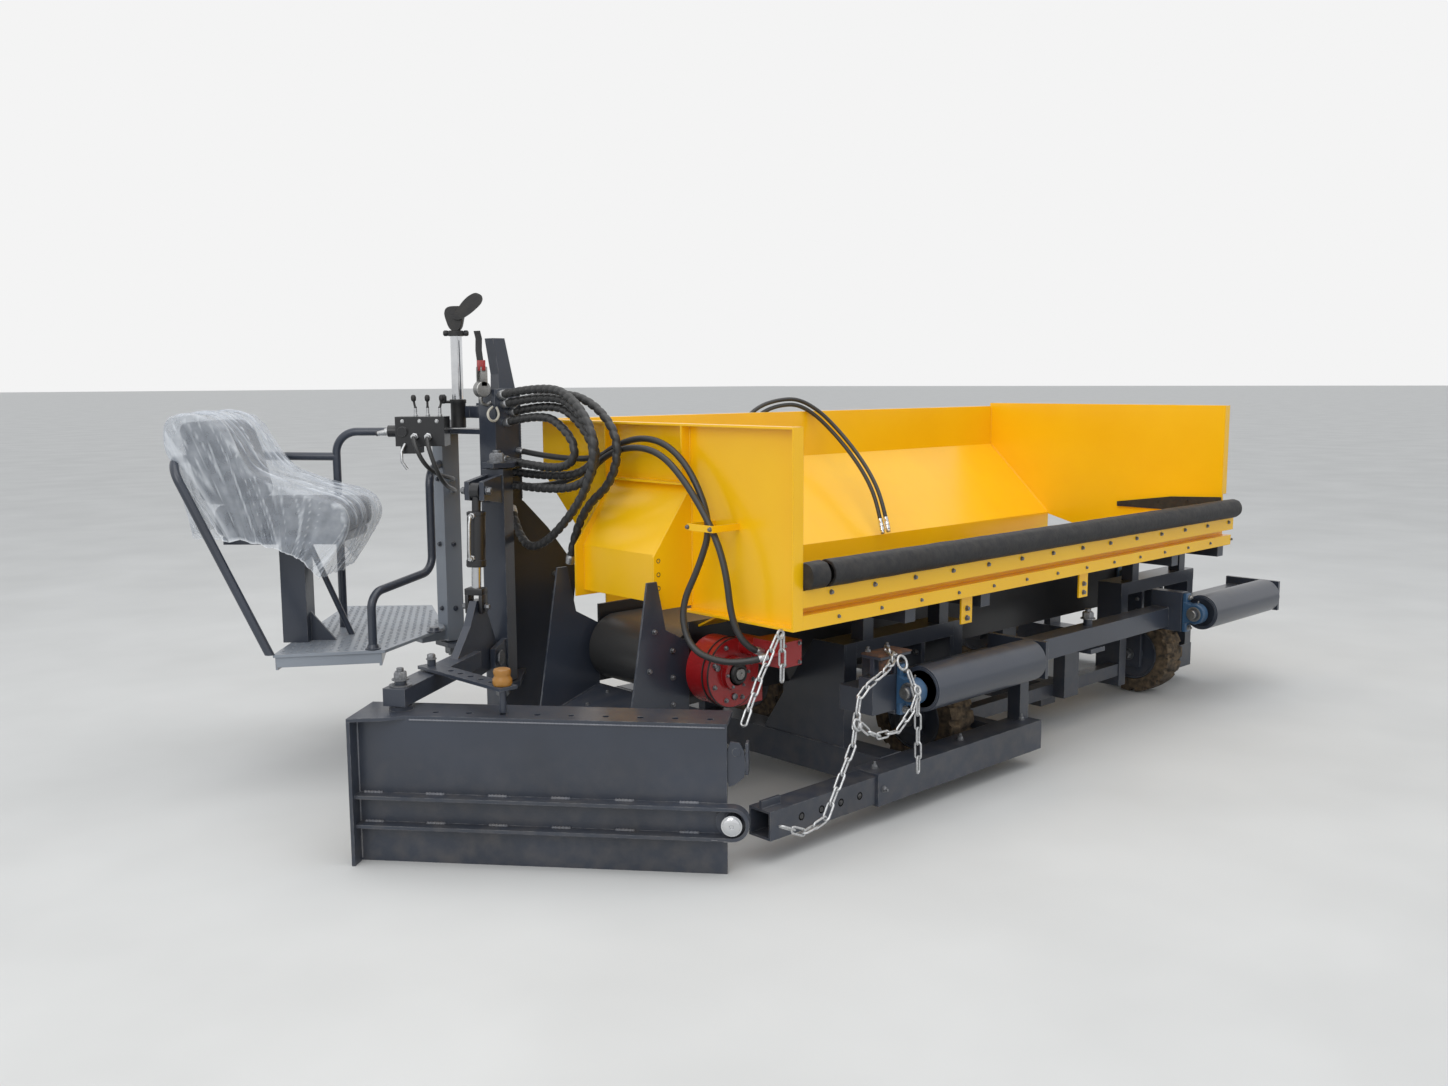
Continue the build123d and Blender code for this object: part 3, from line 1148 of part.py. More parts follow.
def valve_hoses():
    """Short hoses that arch from the valve block to the back of the column."""
    frame = Plane((*VALVE_PLACE, 0), x_dir=(*SEAT_FACING, 0), z_dir=(0, 0, 1))
    deep = VALVE_SIZE[1] / 2
    low = VALVE_LOW
    solids = []
    for x, drop in ((-20.0, 0.0), (35.0, 50.0)):
        start = frame.from_local_coords(Vector(x, -deep - SOFT_CLEAR, low + 70))
        out = frame.from_local_coords(Vector(x, -deep - 70, low + 70))
        down = frame.from_local_coords(Vector(x + 60, -deep - 60, low - 70 - drop))
        end = Vector(COLUMN_X - 4, COLUMN_Y - COLUMN_TUBE / 2 - SOFT_CLEAR, low - 120 - drop)
        back = end - Vector(0, 60, 0)
        points = [(p.X, p.Y, p.Z) for p in (start, out, down, back, end)]
        solids.append(pipe(points, 9.0, 24.0))
    return Compound(solids)


def sensor_post():
    """Telescopic chrome tube on the mast with a grade sensor head at its top."""
    x, y = SENSOR_PLACE
    low, high = SENSOR_SLEEVE
    solids = [rod((x, y, low), (x, y, high), 31)]
    solids.append(rod((x, y, high - 5), (x, y, SENSOR_TOP - 60), SENSOR_TUBE / 2))
    solids.append(block(MAST_X - 40, MAST_X + 20, BASE_REAR, y - 10, low + 40, low + 90))
    solids.append(block(x - 10, MAST_X + 20, y - 26, y + 26, low + 40, low + 90))
    collar = SENSOR_TOP - 70
    solids.append(rod((x, y, collar), (x, y, collar + 20), 34))
    frame = Plane((x, y, 0), x_dir=(*SEAT_FACING, 0), z_dir=(0, 0, 1))
    z = SENSOR_TOP
    head = [(-22, z - 51), (-44, z + 15), (-20, z + 50), (40, z + 50), (22, z - 51)]
    paddle = [(-10, z), (20, z - 10), (110, z + 55), (118, z + 90), (90, z + 105), (30, z + 60)]
    top = [plate_y(head, -22, 22), plate_y(paddle, -30, -21)]
    for side in (-1, 1):
        top.append(Pos(side * 40, 0, collar + 10) * Sphere(13))
    top.append(rod((-30, 0, high - 10), (-62, 0, high - 10), 6))
    top.append(rod((-62, 0, high - 10), (-62, 0, high + 22), 15))
    return join(solids + [frame * part for part in top])


def ratchet_hook():
    """Chain ratchet hanging at the mast's head with its strap upright."""
    face = MAST_X - MAST_TUBE / 2 - SOFT_CLEAR
    x = face - 34
    y = BASE_BACK_Y + 30
    low = MAST_TOP - 60
    strap = block(x - 22, x + 14, y - 12, y + 12, low + 130, low + 290)
    cheek = rod((x - 6, y - 15, low + 60), (x - 6, y + 15, low + 60), 32)
    neck = block(x - 18, x + 10, y - 11, y + 11, low + 80, low + 131)
    hook = block(x - 10, face, y - 8, y + 8, low, low + 50)
    return join([strap, cheek, neck, hook])


HOOK_Y = BASE_BACK_Y + 20 - SOFT_CLEAR
HOSE_LOOPS = (  # corners of the four wrapped hoses: x, y, z
    (
        (-170, HOOK_Y, 1500),
        (-150, 1190, 1545),
        (-190, 960, 1480),
        (-205, 838, 1360),
        (-205, 870, 1225),
        (-200, 1110, 1165),
        (-190, HOOK_Y, 1180),
    ),
    (
        (-130, HOOK_Y, 1465),
        (-135, 1200, 1510),
        (-155, 1010, 1440),
        (-165, 905, 1340),
        (-165, 930, 1262),
        (-160, 1130, 1215),
        (-150, HOOK_Y, 1225),
    ),
    (
        (-185, HOOK_Y, 1536),
        (-180, 1170, 1580),
        (-225, 930, 1515),
        (-245, 790, 1380),
        (-245, 850, 1180),
        (-235, 1130, 960),
        (-205, 1350, 930),
        (-150, HOOK_Y, 1080),
    ),
    (
        (-130, HOOK_Y, 1505),
        (-130, 1150, 1555),
        (-128, 930, 1500),
        (-128, 800, 1370),
        (-130, 850, 1210),
        (-140, 990, 1120),
        (-140, 1080, 990),
        (-140, 1110, 880),
    ),
)


def hose_bundle():
    """Wrapped hoses hung in open loops from the mast's hook to its bulkhead."""
    face = BASE_BACK_Y - SOFT_CLEAR
    mast = block(-400, 100, face, face + 100, 800, 1700)
    mast += block(-400, 100, face - 10, face + 100, 800, 1150)
    return Compound([pipe(points, WRAP_DIAMETER / 2, 95.0) - mast for points in HOSE_LOOPS])


def gearbox_hoses():
    """Two hoses from the outlet wall through the strap down to the drive."""
    radius = HOSE_DIAMETER / 2
    left = [
        (-104, BASE_BACK_Y + 20, 1310),
        (-80, 1300, 1285),
        (-62, 1020, 1290),
        (-62, 905, 1350),
        (-62, 750, 1385),
        (-62, 600, 1360),
        (-62, 470, 1260),
        (-66, 372, 1085),
        (-100, 400, 940),
        (-145, 452, 790),
        (-150, 400, 650),
        (-120, 270, 615),
        (-50, 170, 628),
        HOSE_PORTS[0][0],
    ]
    right = [
        (-104, BASE_BACK_Y + 20, 1165),
        (-100, 1300, 1165),
        (-96, 1020, 1250),
        (-96, 905, 1322),
        (-96, 745, 1352),
        (-96, 600, 1328),
        (-96, 470, 1232),
        (-96, 335, 1080),
        (-100, 262, 940),
        (-96, 240, 760),
        (-60, 196, 665),
        HOSE_PORTS[1][0],
    ]
    face = BASE_BACK_Y - SOFT_CLEAR
    mast = block(-400, 100, face, face + 100, 800, 1700)
    return Compound([pipe(left, radius, 55.0) - mast, pipe(right, radius, 55.0) - mast])


def hose_clips():
    """Strap round the hoses on the outlet wall and the clamp on the rear rim, in one node."""
    y0 = 319.0
    strap = block(-130, -122, y0 - 20, 430, 1068, 1092)
    left = block(-130, 0, 422, 430, 1068, 1092)
    right = block(-130, 0, y0 - 20, y0 - 12, 1068, 1092)
    wall = HOPPER_DEPTH + SHEET
    clamp = block(1180, 1275, wall, 1576, 1172, 1212) + block(1180, 1275, wall, wall + SHEET, 1212, 1262)
    return Compound([strap + left + right, clamp])


def chain(points):
    """A chain of flat links laid along a polyline, each turned a quarter from the last."""
    route = [Vector(*p) for p in points]
    inner = CHAIN_LENGTH - 2 * CHAIN_WIRE
    link = Box(CHAIN_LENGTH, CHAIN_WIDTH, CHAIN_WIRE)
    link -= Box(inner, CHAIN_WIDTH - 2 * CHAIN_WIRE, CHAIN_WIRE + 2)
    solids = []
    leg = 0
    start = route[0]
    while leg < len(route) - 1:
        end = start
        while leg < len(route) - 1 and (route[leg + 1] - start).length < CHAIN_PITCH:
            leg += 1
        if leg == len(route) - 1:
            break
        a = route[leg]
        along = (route[leg + 1] - a).normalized()
        shift = a - start
        b = shift.dot(along)
        reach = -b + max(b * b - shift.dot(shift) + CHAIN_PITCH * CHAIN_PITCH, 0.0) ** 0.5
        end = a + along * reach
        x_dir = (end - start).normalized()
        side = x_dir.cross(Vector(0.3, -1, 0.1)).normalized()
        z_dir = side if len(solids) % 2 else x_dir.cross(side)
        middle = (start + end) * 0.5
        solids.append(Plane((middle.X, middle.Y, middle.Z), x_dir=x_dir, z_dir=z_dir) * link)
        start = end
    return solids


def hopper_chain():
    """Chain from the hopper's corner hook down to the blade's end, with its loose tail."""
    hook = (-50.0, 50.0, HOPPER_BOTTOM + 8)
    ring = block(-62, -30, 42, 58, HOPPER_BOTTOM - 12, HOPPER_BOTTOM)
    main = chain([(hook[0] - 14, hook[1], hook[2] - 24), (-150, 50, 600), (-228, 50, 455)])
    tail = chain([(hook[0] + 14, hook[1] + 4, hook[2] - 24), (hook[0] + 12, hook[1] + 4, 545)])
    return Compound([ring] + main + tail)


def beam_chain():
    """Chain hung over the left roller bracket: its long run to the blade and its loose end."""
    long_run = chain(
        [
            (470, 20, 615.5),
            (405, -75, 615.5),
            (300, -135, 595),
            (130, -150, 540),
            (85, -160, 370),
            (-15, -172, 235),
            (-75, -178, 150),
            (-180, -178, 135),
            (-285, -170, 185),
        ]
    )
    tail = chain([(430, -120, 560), (445, -150, 470), (455, -150, 165)])
    loop = chain([(100, -180, 440), (170, -180, 385), (300, -180, 380), (405, -170, 450), (430, -160, 500)])
    rings = [
        block(80, 110, -190, -150, 425, 445),
        block(418, 448, -175, -140, 490, 506),
        block(395, 445, -130, -62, 560, 605),
    ]
    return join(long_run + tail + loop + rings)


def loader_coupler():
    """Coupler for a loader's quick hitch: two posts on the rear rail, each with two pairs of ears."""
    solids = []
    y0 = BASE_REAR
    mid = y0 + COUPLER_POST + 45
    for side in (-1, 1):
        x = PIVOT_X + side * COUPLER_SPACING / 2
        half = COUPLER_POST / 2
        solids.append(block(x - half, x + half, y0, y0 + COUPLER_POST, BASE_LOW, 980.0))
        for z in COUPLER_HEIGHTS:
            for ear in (-1, 1):
                near = x + ear * (half - COUPLER_EAR)
                far = x + ear * half
                x0 = min(near, far)
                x1 = max(near, far)
                plate = block(x0, x1, y0 + COUPLER_POST, mid + 45, z - 55, z + 55)
                bore = rod((x0 - 1, mid, z), (x1 + 1, mid, z), COUPLER_BORE / 2)
                solids.append(plate - bore)
    return join(solids)


FREE_ROUTES = {
    "front": (
        (1250.0, 1556.0, 1212.3),
        (1250.0, 1556.0, 1300.0),
        (1300.0, 1555.0, 1385.0),
        (1375.0, 1545.0, 1440.0),
        (1465.0, 1520.0, 1468.0),
        (1555.0, 1485.0, 1472.0),
        (1632.0, 1440.0, 1423.0),
        (1690.0, 1380.0, 1343.0),
        (1722.0, 1300.0, 1250.0),
        (1730.0, 1210.0, 1150.0),
        (1714.0, 1128.0, 1055.0),
        (1694.0, 1072.0, 962.0),
        (1686.0, 1050.0, 905.0),
    ),
    "back": (
        (1205.0, 1556.0, 1212.3),
        (1205.0, 1556.0, 1308.0),
        (1256.0, 1556.0, 1402.0),
        (1350.0, 1547.0, 1467.0),
        (1462.0, 1520.0, 1496.0),
        (1558.0, 1482.0, 1499.0),
        (1645.0, 1426.0, 1443.0),
        (1701.0, 1363.0, 1361.0),
        (1729.0, 1280.0, 1268.0),
        (1738.0, 1189.0, 1166.0),
        (1724.0, 1106.0, 1069.0),
        (1706.0, 1049.0, 973.0),
        (1700.0, 1027.0, 914.0),
    ),
}


def cord_radii(route):
    """Each corner's bend: 0.45 of its shorter run over the tangent of half the turn."""
    points = [Vector(*p) for p in route]
    radii = []
    for a, b, c in zip(points, points[1:], points[2:]):
        turn = radians((b - a).get_angle(c - b))
        radii.append(0.45 * min((b - a).length, (c - b).length) / tan(turn / 2))
    return radii


def free_hose(route):
    """One loose hose over the rear rim and down the slope."""
    path = FilletPolyline(*route, radius=cord_radii(route))
    face = Plane(route[0], z_dir=path % 0) * Circle(FREE_HOSE / 2)
    return sweep(face, path=path)


def hose_couplings():
    """Chrome couplings on the ends of the loose hoses, in one node."""
    solids = []
    for route in FREE_ROUTES.values():
        a = Vector(*route[-2])
        b = Vector(*route[-1])
        along = (b - a).normalized()
        tip = b + along * 62
        solids.append(rod((b.X, b.Y, b.Z), (tip.X, tip.Y, tip.Z), 13))
    return Compound(solids)


save("hopper_left_end", hopper_left_end())
save("hopper_right_end", hopper_right_end())
save("hopper_rear_wall", hopper_rear_wall())
save("hopper_stays", hopper_stays())
save("hopper_front_lip", hopper_front_lip())
save("rubber_roll", rubber_roll())
save("outlet_hood", outlet_hood())
save("conveyor_belt", conveyor_belt())
save("conveyor_drums", conveyor_drums())
save("conveyor_sides", conveyor_sides())
save("base_frame", base_frame())
save("front_sleeve", front_sleeve())
save("front_rail", front_rail())
save("wheel_portals", wheel_portals())
save("hopper_saddles", hopper_saddles())
save("wheel_forks", wheel_forks())
save("wheel_axles", wheel_axles())
for name, x, y in (
    ("front_left", WHEEL_LEFT_X, WHEEL_FRONT_Y),
    ("front_right", WHEEL_RIGHT_X, WHEEL_FRONT_Y),
    ("rear_left", WHEEL_LEFT_X, WHEEL_BACK_Y),
    ("rear_right", WHEEL_RIGHT_X, WHEEL_BACK_Y),
):
    save(f"rim_{name}", wheel_rim(x, y))
    save(f"tyre_{name}", wheel_tyre(x, y))
save("push_beam", push_beam())
save("roller_bearings", roller_bearings())
save("push_roller_left", push_roller(LEFT_ROLLER_X))
save("push_roller_right", push_roller(RIGHT_ROLLER_X))
save("extension_tube", extension_tube())
save("drive_gearbox", drive_gearbox())
save("discharge_chute", discharge_chute())
save("mast_frame", mast_frame())
save("swing_post", swing_post())
save("blade_arm", blade_arm())
save("blade", blade())
save("lift_cylinder", lift_cylinder())
save("lift_rod", lift_rod())
save("angle_strut", angle_strut())
save("platform_deck", platform_deck())
save("platform_rails", platform_rails())
save("seat_post", seat_post())
save("seat_cushion", seat_cushion())
save("seat_back", seat_back())
save("seat_film", seat_film())
save("control_valves", control_valves())
save("valve_hoses", valve_hoses())
save("sensor_post", sensor_post())
save("ratchet_hook", ratchet_hook())
save("hose_bundle", hose_bundle())
save("gearbox_hoses", gearbox_hoses())
save("hose_clips", hose_clips())
save("hopper_chain", hopper_chain())
save("beam_chain", beam_chain())
save("loader_coupler", loader_coupler())
for name, route in FREE_ROUTES.items():
    save(f"free_hose_{name}", free_hose(route))
save("hose_couplings", hose_couplings())
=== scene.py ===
"""Road widening paver: finishes, fasteners, hoses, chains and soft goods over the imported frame.

Places and sizes are the hopper millimetres of the part's source: X along the hopper from its
outlet, Y from the truck side back to the loader side, Z up from the ground. Shape turns them
into metres in the shared frame.
"""
import logging
from collections.abc import Iterable, Sequence
from dataclasses import dataclass
from enum import Enum
from itertools import product
from math import cos, exp, hypot, radians, sin, tau

import bmesh
import bpy
from mathutils import Matrix, Vector, noise


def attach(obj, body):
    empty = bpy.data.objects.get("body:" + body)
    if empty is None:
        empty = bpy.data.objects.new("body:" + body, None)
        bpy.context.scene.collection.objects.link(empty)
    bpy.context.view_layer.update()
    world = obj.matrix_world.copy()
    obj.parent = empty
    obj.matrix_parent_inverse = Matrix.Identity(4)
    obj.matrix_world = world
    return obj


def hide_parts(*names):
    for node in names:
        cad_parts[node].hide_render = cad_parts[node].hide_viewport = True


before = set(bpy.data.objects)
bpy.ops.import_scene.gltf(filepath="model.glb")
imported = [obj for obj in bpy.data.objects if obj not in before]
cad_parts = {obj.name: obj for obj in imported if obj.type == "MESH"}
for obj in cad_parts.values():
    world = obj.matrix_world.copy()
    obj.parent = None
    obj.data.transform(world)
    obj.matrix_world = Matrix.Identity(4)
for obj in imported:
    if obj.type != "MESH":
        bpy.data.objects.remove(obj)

LOG = logging.getLogger("paver")
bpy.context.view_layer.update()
Point = tuple[float, float, float]
Profile = Sequence[tuple[float, float]]
Socket = bpy.types.NodeSocket
Outputs = bpy.types.bpy_prop_collection

TO_FRAME = Matrix.Scale(0.001, 4) @ Matrix.Translation((-1105, -1201, 0))
LEFT, RIGHT = (-1, 0, 0), (1, 0, 0)
TRUCK, LOADER = (0, -1, 0), (0, 1, 0)
DOWN, UP = (0, 0, -1), (0, 0, 1)
WHEEL_COLUMNS = {"left": 1071, "right": 2860}
WHEEL_ROWS = {"front": 300, "rear": 1270}
GUARD_DEPTH = 4.5  # a spiral guard's groove, in millimetres
GUARD_GROOVE = 0.16  # its half width as a share of the pitch


def upright_plane(place: tuple[float, float], facing: tuple[float, float]) -> Matrix:
    """A plane of its own for pieces that stand at an angle.

    Args:
        place: the plane's origin on the ground, in hopper millimetres.
        facing: the direction of its X axis on the ground.

    Returns:
        The matrix from the plane's millimetres to hopper millimetres.
    """
    x = Vector((*facing, 0)).normalized()
    z = Vector(UP)
    turn = Matrix((x, z.cross(x), z)).transposed().to_4x4()
    return Matrix.Translation((*place, 0)) @ turn


SQUARE = Matrix.Identity(4)
BLADE = upright_plane((-362, -14), (-800, 953))
ARM = upright_plane((-300, 1360), (-710.56, -469.19))
SEAT = upright_plane((-880, 1920), (0.727, -0.687))
VALVES = upright_plane((-385, 1770), (0.727, -0.687))
SENSOR = upright_plane((-227, 1750), (0.727, -0.687))


def linear(code: str) -> list[float]:
    """Turn an sRGB hex colour into the linear one that shaders take."""
    parts = [int(code[i : i + 2], 16) / 255 for i in (1, 3, 5)]
    return [c / 12.92 if c <= 0.04045 else ((c + 0.055) / 1.055) ** 2.4 for c in parts] + [1.0]


def clamp(value: float) -> float:
    """Hold a value between 0 and 1."""
    return min(max(value, 0.0), 1.0)


class Nodes:
    """A node tree as it is laid out, with the patterns that the finishes share."""

    def __init__(self, tree: bpy.types.NodeTree) -> None:
        """Start with an empty tree."""
        self.tree = tree
        tree.nodes.clear()

    def fill(self, node: bpy.types.Node, sockets: dict) -> None:
        """Fill in a node's sockets.

        Args:
            node: the node.
            sockets: by name or number, the value, hex colour or output that goes in there.
        """
        for key, value in sockets.items():
            if isinstance(value, Socket):
                self.tree.links.new(value, node.inputs[key])
            else:
                node.inputs[key].default_value = linear(value) if isinstance(value, str) else value

    def add(self, kind: str, sockets: dict | None = None, **settings: str | int) -> Outputs:
        """Add a node with its settings and links.

        Args:
            kind: Blender's name for it, without the prefix.
            sockets: what goes into it, as fill takes it.
            settings: the node's own properties.

        Returns:
            Its output sockets.
        """
        node = self.tree.nodes.new(f"ShaderNode{kind}")
        for name, value in settings.items():
            setattr(node, name, value)
        self.fill(node, sockets or {})
        return node.outputs

    def speckle(self, grain_mm: float, low: float, high: float, detail: float = 3) -> Socket:
        """A mask of soft spots.

        Args:
            grain_mm: the real distance between spots.
            low: noise value that gives 0.
            high: noise value that gives 1.
            detail: how many finer layers the spots have.

        Returns:
            The mask.
        """
        place = self.add("TexCoord")["Object"]
        grain = {"Scale": 1000 / grain_mm, "Detail": detail, "Vector": place}
        spots = self.add("TexNoise", grain)[0]
        return self.add("MapRange", {"From Min": low, "From Max": high, "Value": spots})[0]

    def rise(self, what: str, low: float, high: float, least: float = 0, most: float = 1) -> Socket:
        """A mask of how high up a place is, or how far up a face looks.

        Args:
            what: Position or Normal.
            low: the height or upward share that gives the least.
            high: the one that gives the most.
            least: the mask's lowest value.
            most: its highest value.

        Returns:
            The mask.
        """
        up = self.add("SeparateXYZ", {0: self.add("NewGeometry")[what]})[2]
        ends = {"From Min": low, "From Max": high, "To Min": least, "To Max": most}
        return self.add("MapRange", {**ends, "Value": up})[0]

    def overlay(self, under: Socket | str, over: Socket | str, *masks: Socket | float) -> Socket:
        """Lay one colour over another.

        Args:
            under: the colour below.
            over: the colour on top.
            masks: masks and shares, multiplied, that say where it shows.

        Returns:
            The colour.
        """
        mask = masks[0]
        for factor in masks[1:]:
            mask = self.add("Math", {0: mask, 1: factor}, operation="MULTIPLY")[0]
        return self.add("Mix", {0: mask, 6: under, 7: over}, data_type="RGBA")[2]

    def relief(self, grain_mm: float, depth_mm: float, edge_mm: float = 0) -> Socket:
        """The bump of a grain, over edges that are eased a little.

        Args:
            grain_mm: distance between the grain's bumps.
            depth_mm: how deep the bumps are.
            edge_mm: radius that sharp edges seem to have.

        Returns:
            The normal.
        """
        height = self.speckle(grain_mm, 0.25, 0.75, 2)
        bump = {"Strength": 0.6, "Distance": depth_mm / 1000, "Height": height}
        if edge_mm:
            bump["Normal"] = self.add("Bevel", {"Radius": edge_mm / 1000}, samples=4)[0]
        return self.add("Bump", bump)[0]


@dataclass(frozen=True)
class Finish:
    """A surface, named for what it is and how it was made."""

    name: str
    colour: str
    shade: str
    slot: str
    roughness: float = 0.5
    metallic: float = 0.0

    def material(self) -> bpy.types.Material:
        """Make the finish the first time it is asked for.

        Returns:
            Its Blender material.
        """
        made = bpy.data.materials.get(self.name)
        if made is None:
            made = bpy.data.materials.new(self.name)
            made.use_nodes = True
            nodes = Nodes(made.node_tree)
            plain = {"Roughness": self.roughness, "Metallic": self.metallic}
            surface = nodes.add("BsdfPrincipled", plain)[0]
            nodes.fill(surface.node, self.dress(nodes))
            nodes.add("OutputMaterial", {"Surface": surface})
        return made

    def dress(self, nodes: Nodes) -> dict:
        """Lay out the finish's pattern.

        Args:
            nodes: the material's node tree.

        Returns:
            What goes into the shader's sockets, by name.
        """
        raise NotImplementedError


@dataclass(frozen=True)
class SprayedEnamel(Finish):
    """Two-part enamel sprayed on welded steel plate."""

    bare: str = "#8A8B8C"
    dust: str = "#8F8474"
    dust_share: float = 0.35
    wear: float = 0.5
    peel_mm: float = 9.0
    coat: float = 0.25

    def dress(self, nodes: Nodes) -> dict:
        """Uneven shade, orange peel in the gloss, rubbed edges and road dust low down.

        Args:
            nodes: the material's node tree.

        Returns:
            What goes into the shader's sockets.
        """
        # Clouds about 400 mm wide, as the passes of a spray gun leave them
        colour = nodes.overlay(self.colour, self.shade, nodes.speckle(400, 0.35, 0.7))
        # Welded edges rub bare first: where the eased normal departs from the true one
        eased = nodes.add("Bevel", {"Radius": 0.004}, samples=4)[0]
        pair = {0: eased, 1: nodes.add("NewGeometry")["Normal"]}
        agree = nodes.add("VectorMath", pair, operation="DOT_PRODUCT")["Value"]
        edge = nodes.add("MapRange", {"From Min": 0.985, "From Max": 0.86, "Value": agree})[0]
        chips = nodes.speckle(35, 0.42, 0.62)
        colour = nodes.overlay(colour, self.bare, edge, chips, self.wear)
        # Dust thrown up from the road thins out with height and gathers on what faces up
        ends = {0: nodes.rise("Position", 0.45, 0.02), 1: nodes.rise("Normal", 0.4, 1, 0, 0.5)}
        both = nodes.add("Math", ends, operation="ADD", use_clamp=True)[0]
        patches = nodes.speckle(60, 0.38, 0.72, 6)
        gloss = {"To Min": self.roughness - 0.05, "To Max": self.roughness + 0.16, "Value": both}
        return {
            "Coat Weight": self.coat,
            "Coat Roughness": 0.18,
            "Base Color": nodes.overlay(colour, self.dust, both, patches, self.dust_share),
            "Roughness": nodes.add("MapRange", gloss)[0],
            # Orange peel is about 2 mm, drawn coarser so that it shows in the render
            "Normal": nodes.relief(self.peel_mm, 0.25, 2.5),
        }


@dataclass(frozen=True)
class PlatedSteel(Finish):
    """Steel with a metal coat: zinc-dipped chain and bolts, or hard chrome rods."""

    grain_mm: float = 6.0
    stain: float = 0.4

    def dress(self, nodes: Nodes) -> dict:
        """Spangle in two greys, and dull stains in the gloss.

        Args:
            nodes: the material's node tree.

        Returns:
            What goes into the shader's sockets.
        """
        spangle = nodes.speckle(self.grain_mm, 0.35, 0.65)
        spots = {0: nodes.speckle(45, 0.4, 0.75), 1: self.stain}
        stains = nodes.add("Math", spots, operation="MULTIPLY")[0]
        dull = min(self.roughness + 0.35, 0.9)
        gloss = {"To Min": self.roughness, "To Max": dull, "Value": stains}
        return {
            "Base Color": nodes.overlay(self.colour, self.shade, spangle),
            "Roughness": nodes.add("MapRange", gloss)[0],
            "Normal": nodes.relief(self.grain_mm, 0.08, 0.8),
        }


@dataclass(frozen=True)
class MouldedRubber(Finish):
    """Rubber from a mould, with the dust that sits in its grain."""

    dust: str = "#6E675C"
    dust_share: float = 0.4
    grain_mm: float = 5.0
    depth_mm: float = 0.4

    def dress(self, nodes: Nodes) -> dict:
        """Matt grain, and pale dust in patches, most on what faces up.

        Args:
            nodes: the material's node tree.

        Returns:
            What goes into the shader's sockets.
        """
        colour = nodes.overlay(self.colour, self.shade, nodes.speckle(120, 0.3, 0.7))
        patches, up = nodes.speckle(28, 0.35, 0.75, 6), nodes.rise("Normal", -0.6, 1, 0.25)
        return {
            "Base Color": nodes.overlay(colour, self.dust, patches, up, self.dust_share),
            "Normal": nodes.relief(self.grain_mm, self.depth_mm),
        }


@dataclass(frozen=True)
class GrainedVinyl(Finish):
    """Seat vinyl embossed with a leather grain."""

    grain_mm: float = 4.0

    def dress(self, nodes: Nodes) -> dict:
        """Cells of grain, with painted shade that darkens the grooves between them.

        Args:
            nodes: the material's node tree.

        Returns:
            What goes into the shader's sockets.
        """
        place = nodes.add("TexCoord")["Object"]
        grain = {"Scale": 1000 / self.grain_mm, "Vector": place}
        cells = nodes.add("TexVoronoi", grain, feature="DISTANCE_TO_EDGE")["Distance"]
        # The cells' height, which also darkens the grooves as painted shade
        height_and_groove_shade = nodes.add("MapRange", {"From Max": 0.25, "Value": cells})[0]
        bump = nodes.add("Bump", {"Strength": 0.5, "Distance": 0.0004, "Height": height_and_groove_shade})[0]
        return {"Base Color": nodes.overlay(self.shade, self.colour, height_and_groove_shade), "Normal": bump}


@dataclass(frozen=True)
class BlownFilm(Finish):
    """Thin polyethylene film, blown and folded, clear where flat, with painted sheen that whitens
    its folds and hem.
    """

    def dress(self, nodes: Nodes) -> dict:
        """Glossy, with painted sheen: its folds and hem whiter and less clear than its flat parts,
        as film looks side-on to the light.

        Args:
            nodes: the material's node tree.

        Returns:
            What goes into the shader's sockets.
        """
        # Painted sheen: the mesh's mask whitens the folds and hem and makes them less clear, as
        # film looks when seen side-on; the speckled haze is the film's own
        painted_sheen = nodes.add("Attribute", attribute_name="painted_sheen")["Fac"]
        spots = {0: nodes.speckle(70, 0.3, 0.75, 5), 1: 0.35}
        haze = nodes.add("Math", spots, operation="MULTIPLY")[0]
        haze_and_sheen = nodes.add("Math", {0: painted_sheen, 1: haze}, operation="MAXIMUM")[0]
        return {
            "Base Color": nodes.overlay(self.shade, self.colour, haze_and_sheen),
            "Alpha": nodes.add("MapRange", {"To Min": 0.3, "To Max": 0.9, "Value": haze_and_sheen})[0],
            "Coat Weight": 0.4,
            "Normal": nodes.relief(22, 1.2),
        }


@dataclass(frozen=True)
class RustedPlate(Finish):
    """Mild steel plate left bare, with mill scale and a skin of rust."""

    def dress(self, nodes: Nodes) -> dict:
        """Brown bloom over darker scale."""
        bloom = nodes.overlay(self.colour, self.shade, nodes.speckle(18, 0.35, 0.65, 8))
        return {"Base Color": bloom, "Normal": nodes.relief(5, 0.5)}


@dataclass(frozen=True)
class PouredConcrete(Finish):
    """Pale concrete, floated smooth."""

    def dress(self, nodes: Nodes) -> dict:
        """Faint clouds, as a float leaves them."""
        clouds = nodes.speckle(900, 0.3, 0.7)
        return {"Base Color": nodes.overlay(self.colour, self.shade, clouds)}


